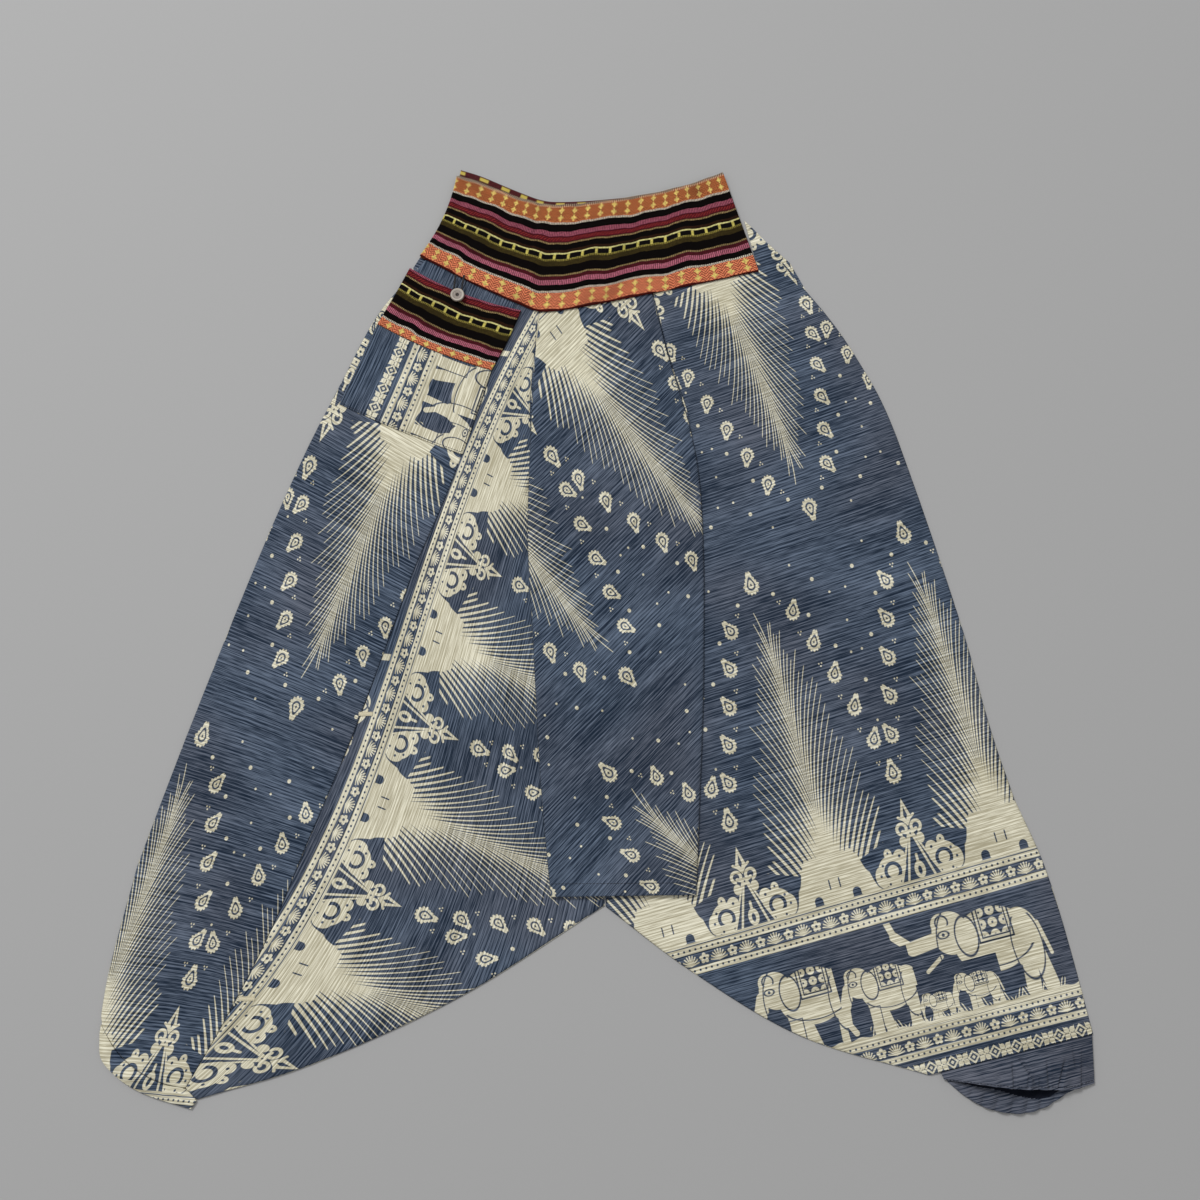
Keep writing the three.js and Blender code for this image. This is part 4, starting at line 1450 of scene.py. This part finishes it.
def tube(path, radius, sides, points, faces):
    """Adds a round strand along a path to the points and faces; its ends are closed."""
    start = len(points)
    for k, at in enumerate(path):
        ahead = (path[min(k + 1, len(path) - 1)] - path[max(k - 1, 0)]).normalized()
        across = ahead.cross(Vector((0, 0, 1)))
        across = across.normalized() if across.length > 1e-6 else Vector((1, 0, 0))
        upward = across.cross(ahead)
        for s in range(sides):
            angle = 2 * math.pi * s / sides
            points.append(at + radius * (math.cos(angle) * across + math.sin(angle) * upward))
    for k in range(len(path) - 1):
        for s in range(sides):
            n = (s + 1) % sides
            low, high = start + k * sides, start + (k + 1) * sides
            faces.append((low + s, low + n, high + n, high + s))
    faces.append(tuple(start + s for s in reversed(range(sides))))
    faces.append(tuple(start + (len(path) - 1) * sides + s for s in range(sides)))


def strands(name, paths, radius, sides, material):
    points, faces = [], []
    for path in paths:
        tube([Vector(at) for at in path], radius, sides, points, faces)
    piece = meshed(name, points, faces, material, smoothed=True)
    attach(piece, "root")
    return piece


plies = []
for ply in range(2):
    path = []
    for k in range(LOOP_STEPS + 1):
        t = k / LOOP_STEPS
        x, y = catmull(LOOP_PATH, t)
        x1, y1 = catmull(LOOP_PATH, min(t + 0.005, 1))
        x0, y0 = catmull(LOOP_PATH, max(t - 0.005, 0))
        run = Vector((x1 - x0, y1 - y0, 0)).normalized()
        angle = 2 * math.pi * LOOP_TURNS * t + math.pi * ply
        side = LOOP_TWIST * math.cos(angle)
        path.append((BUTTON_PLACE[0] + x - run.y * side, BUTTON_PLACE[1] + y + run.x * side,
                     LOOP_LEVEL + LOOP_TWIST * math.sin(angle)))
    plies.append(path)
loop = strands("button_cord", plies, LOOP_RADIUS, LOOP_SIDES, cord_finish)
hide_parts("button_loop")

# The ends of the legs: the right one hemmed and drawn in with a few gathers, the left one
# an open cuff whose mouth gapes, of the plain cloth beyond the border.
RIGHT_HEM = table(
    "share hem_x hem_y",
    [
        (0.0, -460, -410), (0.22, -457, -431), (0.42, -443, -446), (0.62, -424, -458),
        (0.82, -403, -466), (1, -385, -471), (2, -371, -475),
    ],
)
LEFT_CUFF = table(
    "top_x top_y front_x front_y back_x back_y gape",
    [
        (316, -443.7, 318, -449.5, 322, -452, 0.04),
        (340, -438.1, 341, -452, 338, -465, 0.4),
        (362, -433, 361, -454, 358, -475, 0.85),
        (385, -427.6, 383, -456, 384, -479, 1),
        (410, -421.8, 408, -457, 408, -474, 0.7),
        (436, -415.7, 434, -458, 432, -461, 0.25),
        (457.5, -410.7, 456, -453, 454, -452, 0),
    ],
)
CUFF_ROLL = 3.4
MOUTH_GAPE = 12
MOUTH_GATHER = 2.6


def right_end_place(share):
    if share > 1:
        return place_on(inner_panel, share - 1, 1)[:2]
    return place_on(outer_panel, share, 1)[:2]


right_cuff_rows = []
for row in RIGHT_HEM:
    x, y = right_end_place(row["share"])
    right_cuff_rows.append(dict(top_x=x - 0.3, top_y=y - 0.9, hem_x=row["hem_x"],
                                hem_y=row["hem_y"]))


def gathered(count, share, b):
    return 1 - share * (1 - math.cos(2 * math.pi * count * b)) / 2


def right_cuff_height(x, y, a, b, left, right):
    drawn = CUFF_ROLL * math.sin(math.pi * a) * gathered(7, 0.5, b)
    drawn *= math.sqrt(max(math.sin(math.pi * b), 0))
    return FRONT_LEVEL + CLOTH + drawn


right_cuff_panel = dict(rows=right_cuff_rows, start="top", finish="hem")
right_cuff = lay_cloth("right_cuff_front_cloth", right_cuff_panel, 40, 160, right_cuff_height,
                       outer_cloth, printed_cotton)
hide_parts("cuff_right_front")
right_cuff_back = lay_cloth("right_cuff_back_cloth", right_cuff_panel, 12, 60, level(BACK_LEVEL),
                            outer_cloth, printed_cotton)
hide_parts("cuff_right_back")

CUFF_CREASES = table(
    "from_x from_y to_x to_y depth width",
    [
        (1006, 1034, 1035, 1084, 3.2, 2.6), (1013, 1060, 1009, 1092, 2.4, 2.2),
        (1066, 1058, 1056, 1092, 2.8, 2.4), (1084, 1046, 1082, 1092, 2.2, 2.2),
        (1047, 1058, 1046, 1092, 1.6, 2.2), (1073, 1034, 1077, 1072, 1.4, 2.6),
        (1027, 1072, 1022, 1092, 1.6, 2), (1038, 1074, 1036, 1092, 1.4, 2),
    ],
)
# The left cuff's back cloth is painted near-black from its top edge out to these shares across. This
# is painted shadow inside the gaping mouth, seen between the front hem and the back's raised rim.
MOUTH_SHADOW_SHARE = 0.58
MOUTH_SHADOW_SPREAD = 0.28
PAINTED_MOUTH_SHADOW = (0.010, 0.012, 0.020, 1)


def left_back_height(x, y, a, b, left, right):
    rim = smooth(a, 0.58, 0.80) * math.sin(math.pi * b)
    rise = rim * (1.6 + 2.4 * abs(math.sin(math.pi * 11 * b + 3 * a)))
    return BACK_LEVEL + rise - roll(right, 2.0, 1.0) * min(rise, 1)


def left_cuff_height(x, y, a, b, left, right):
    gape = through(LEFT_CUFF, "gape", b)
    lift = max(MOUTH_GAPE * gape * smooth(a, -0.1, 0.95), 0)
    lift += MOUTH_GATHER * a * gathered(9, 1, b) * math.sin(math.pi * b)
    return FRONT_LEVEL + CLOTH + max(lift - crease_dip(x, y, CUFF_CREASES) * smooth(a, 0, 0.3), 0)


plain_cotton = cotton("plain_cuff", printed=False)
# Flat near-black finish: painted shadow inside the cuff's mouth.
mouth_shadow_finish, shader = new_finish("cuff_mouth_painted_shadow", roughness=0.95, specular=0.05)
shader.inputs["Base Color"].default_value = PAINTED_MOUTH_SHADOW
cuff_back_panel = dict(rows=LEFT_CUFF, start="top", finish="back")
left_cuff_back = lay_cloth("left_cuff_back_cloth", cuff_back_panel, 60, 200, left_back_height,
                           left_cloth, plain_cotton)
left_cuff_back.data.materials.append(mouth_shadow_finish)
mouth_shadow_edge = [place_on(cuff_back_panel, MOUTH_SHADOW_SHARE + MOUTH_SHADOW_SPREAD * smooth(b, 0.3, 0.75), b)[:2]
               for b in np.linspace(0, 1, 60)]
shadow_edge_x, shadow_edge_y = zip(*mouth_shadow_edge)
# Faces on the top side of that edge take the painted shadow.
for face in left_cuff_back.data.polygons:
    x, y = face.center.x / MM - MIDDLE[0], face.center.y / MM - MIDDLE[1]
    face.material_index = int(y > np.interp(x, shadow_edge_x, shadow_edge_y))
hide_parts("cuff_left_back")
cuff_front_panel = dict(rows=LEFT_CUFF, start="top", finish="front")
left_cuff = lay_cloth("left_cuff_front_cloth", cuff_front_panel, 50, 200, left_cuff_height,
                      left_cloth, plain_cotton)
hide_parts("cuff_left_front")
cuff_marks = [(0.93, b) for b in np.linspace(0.02, 0.98, 120)]
cuff_line = line_on(cuff_front_panel, left_cuff_height, cuff_marks)
cuff_hem = sewn("cuff_hem_stitches", [cuff_line], DARK_THREAD, **HEM_STITCH)
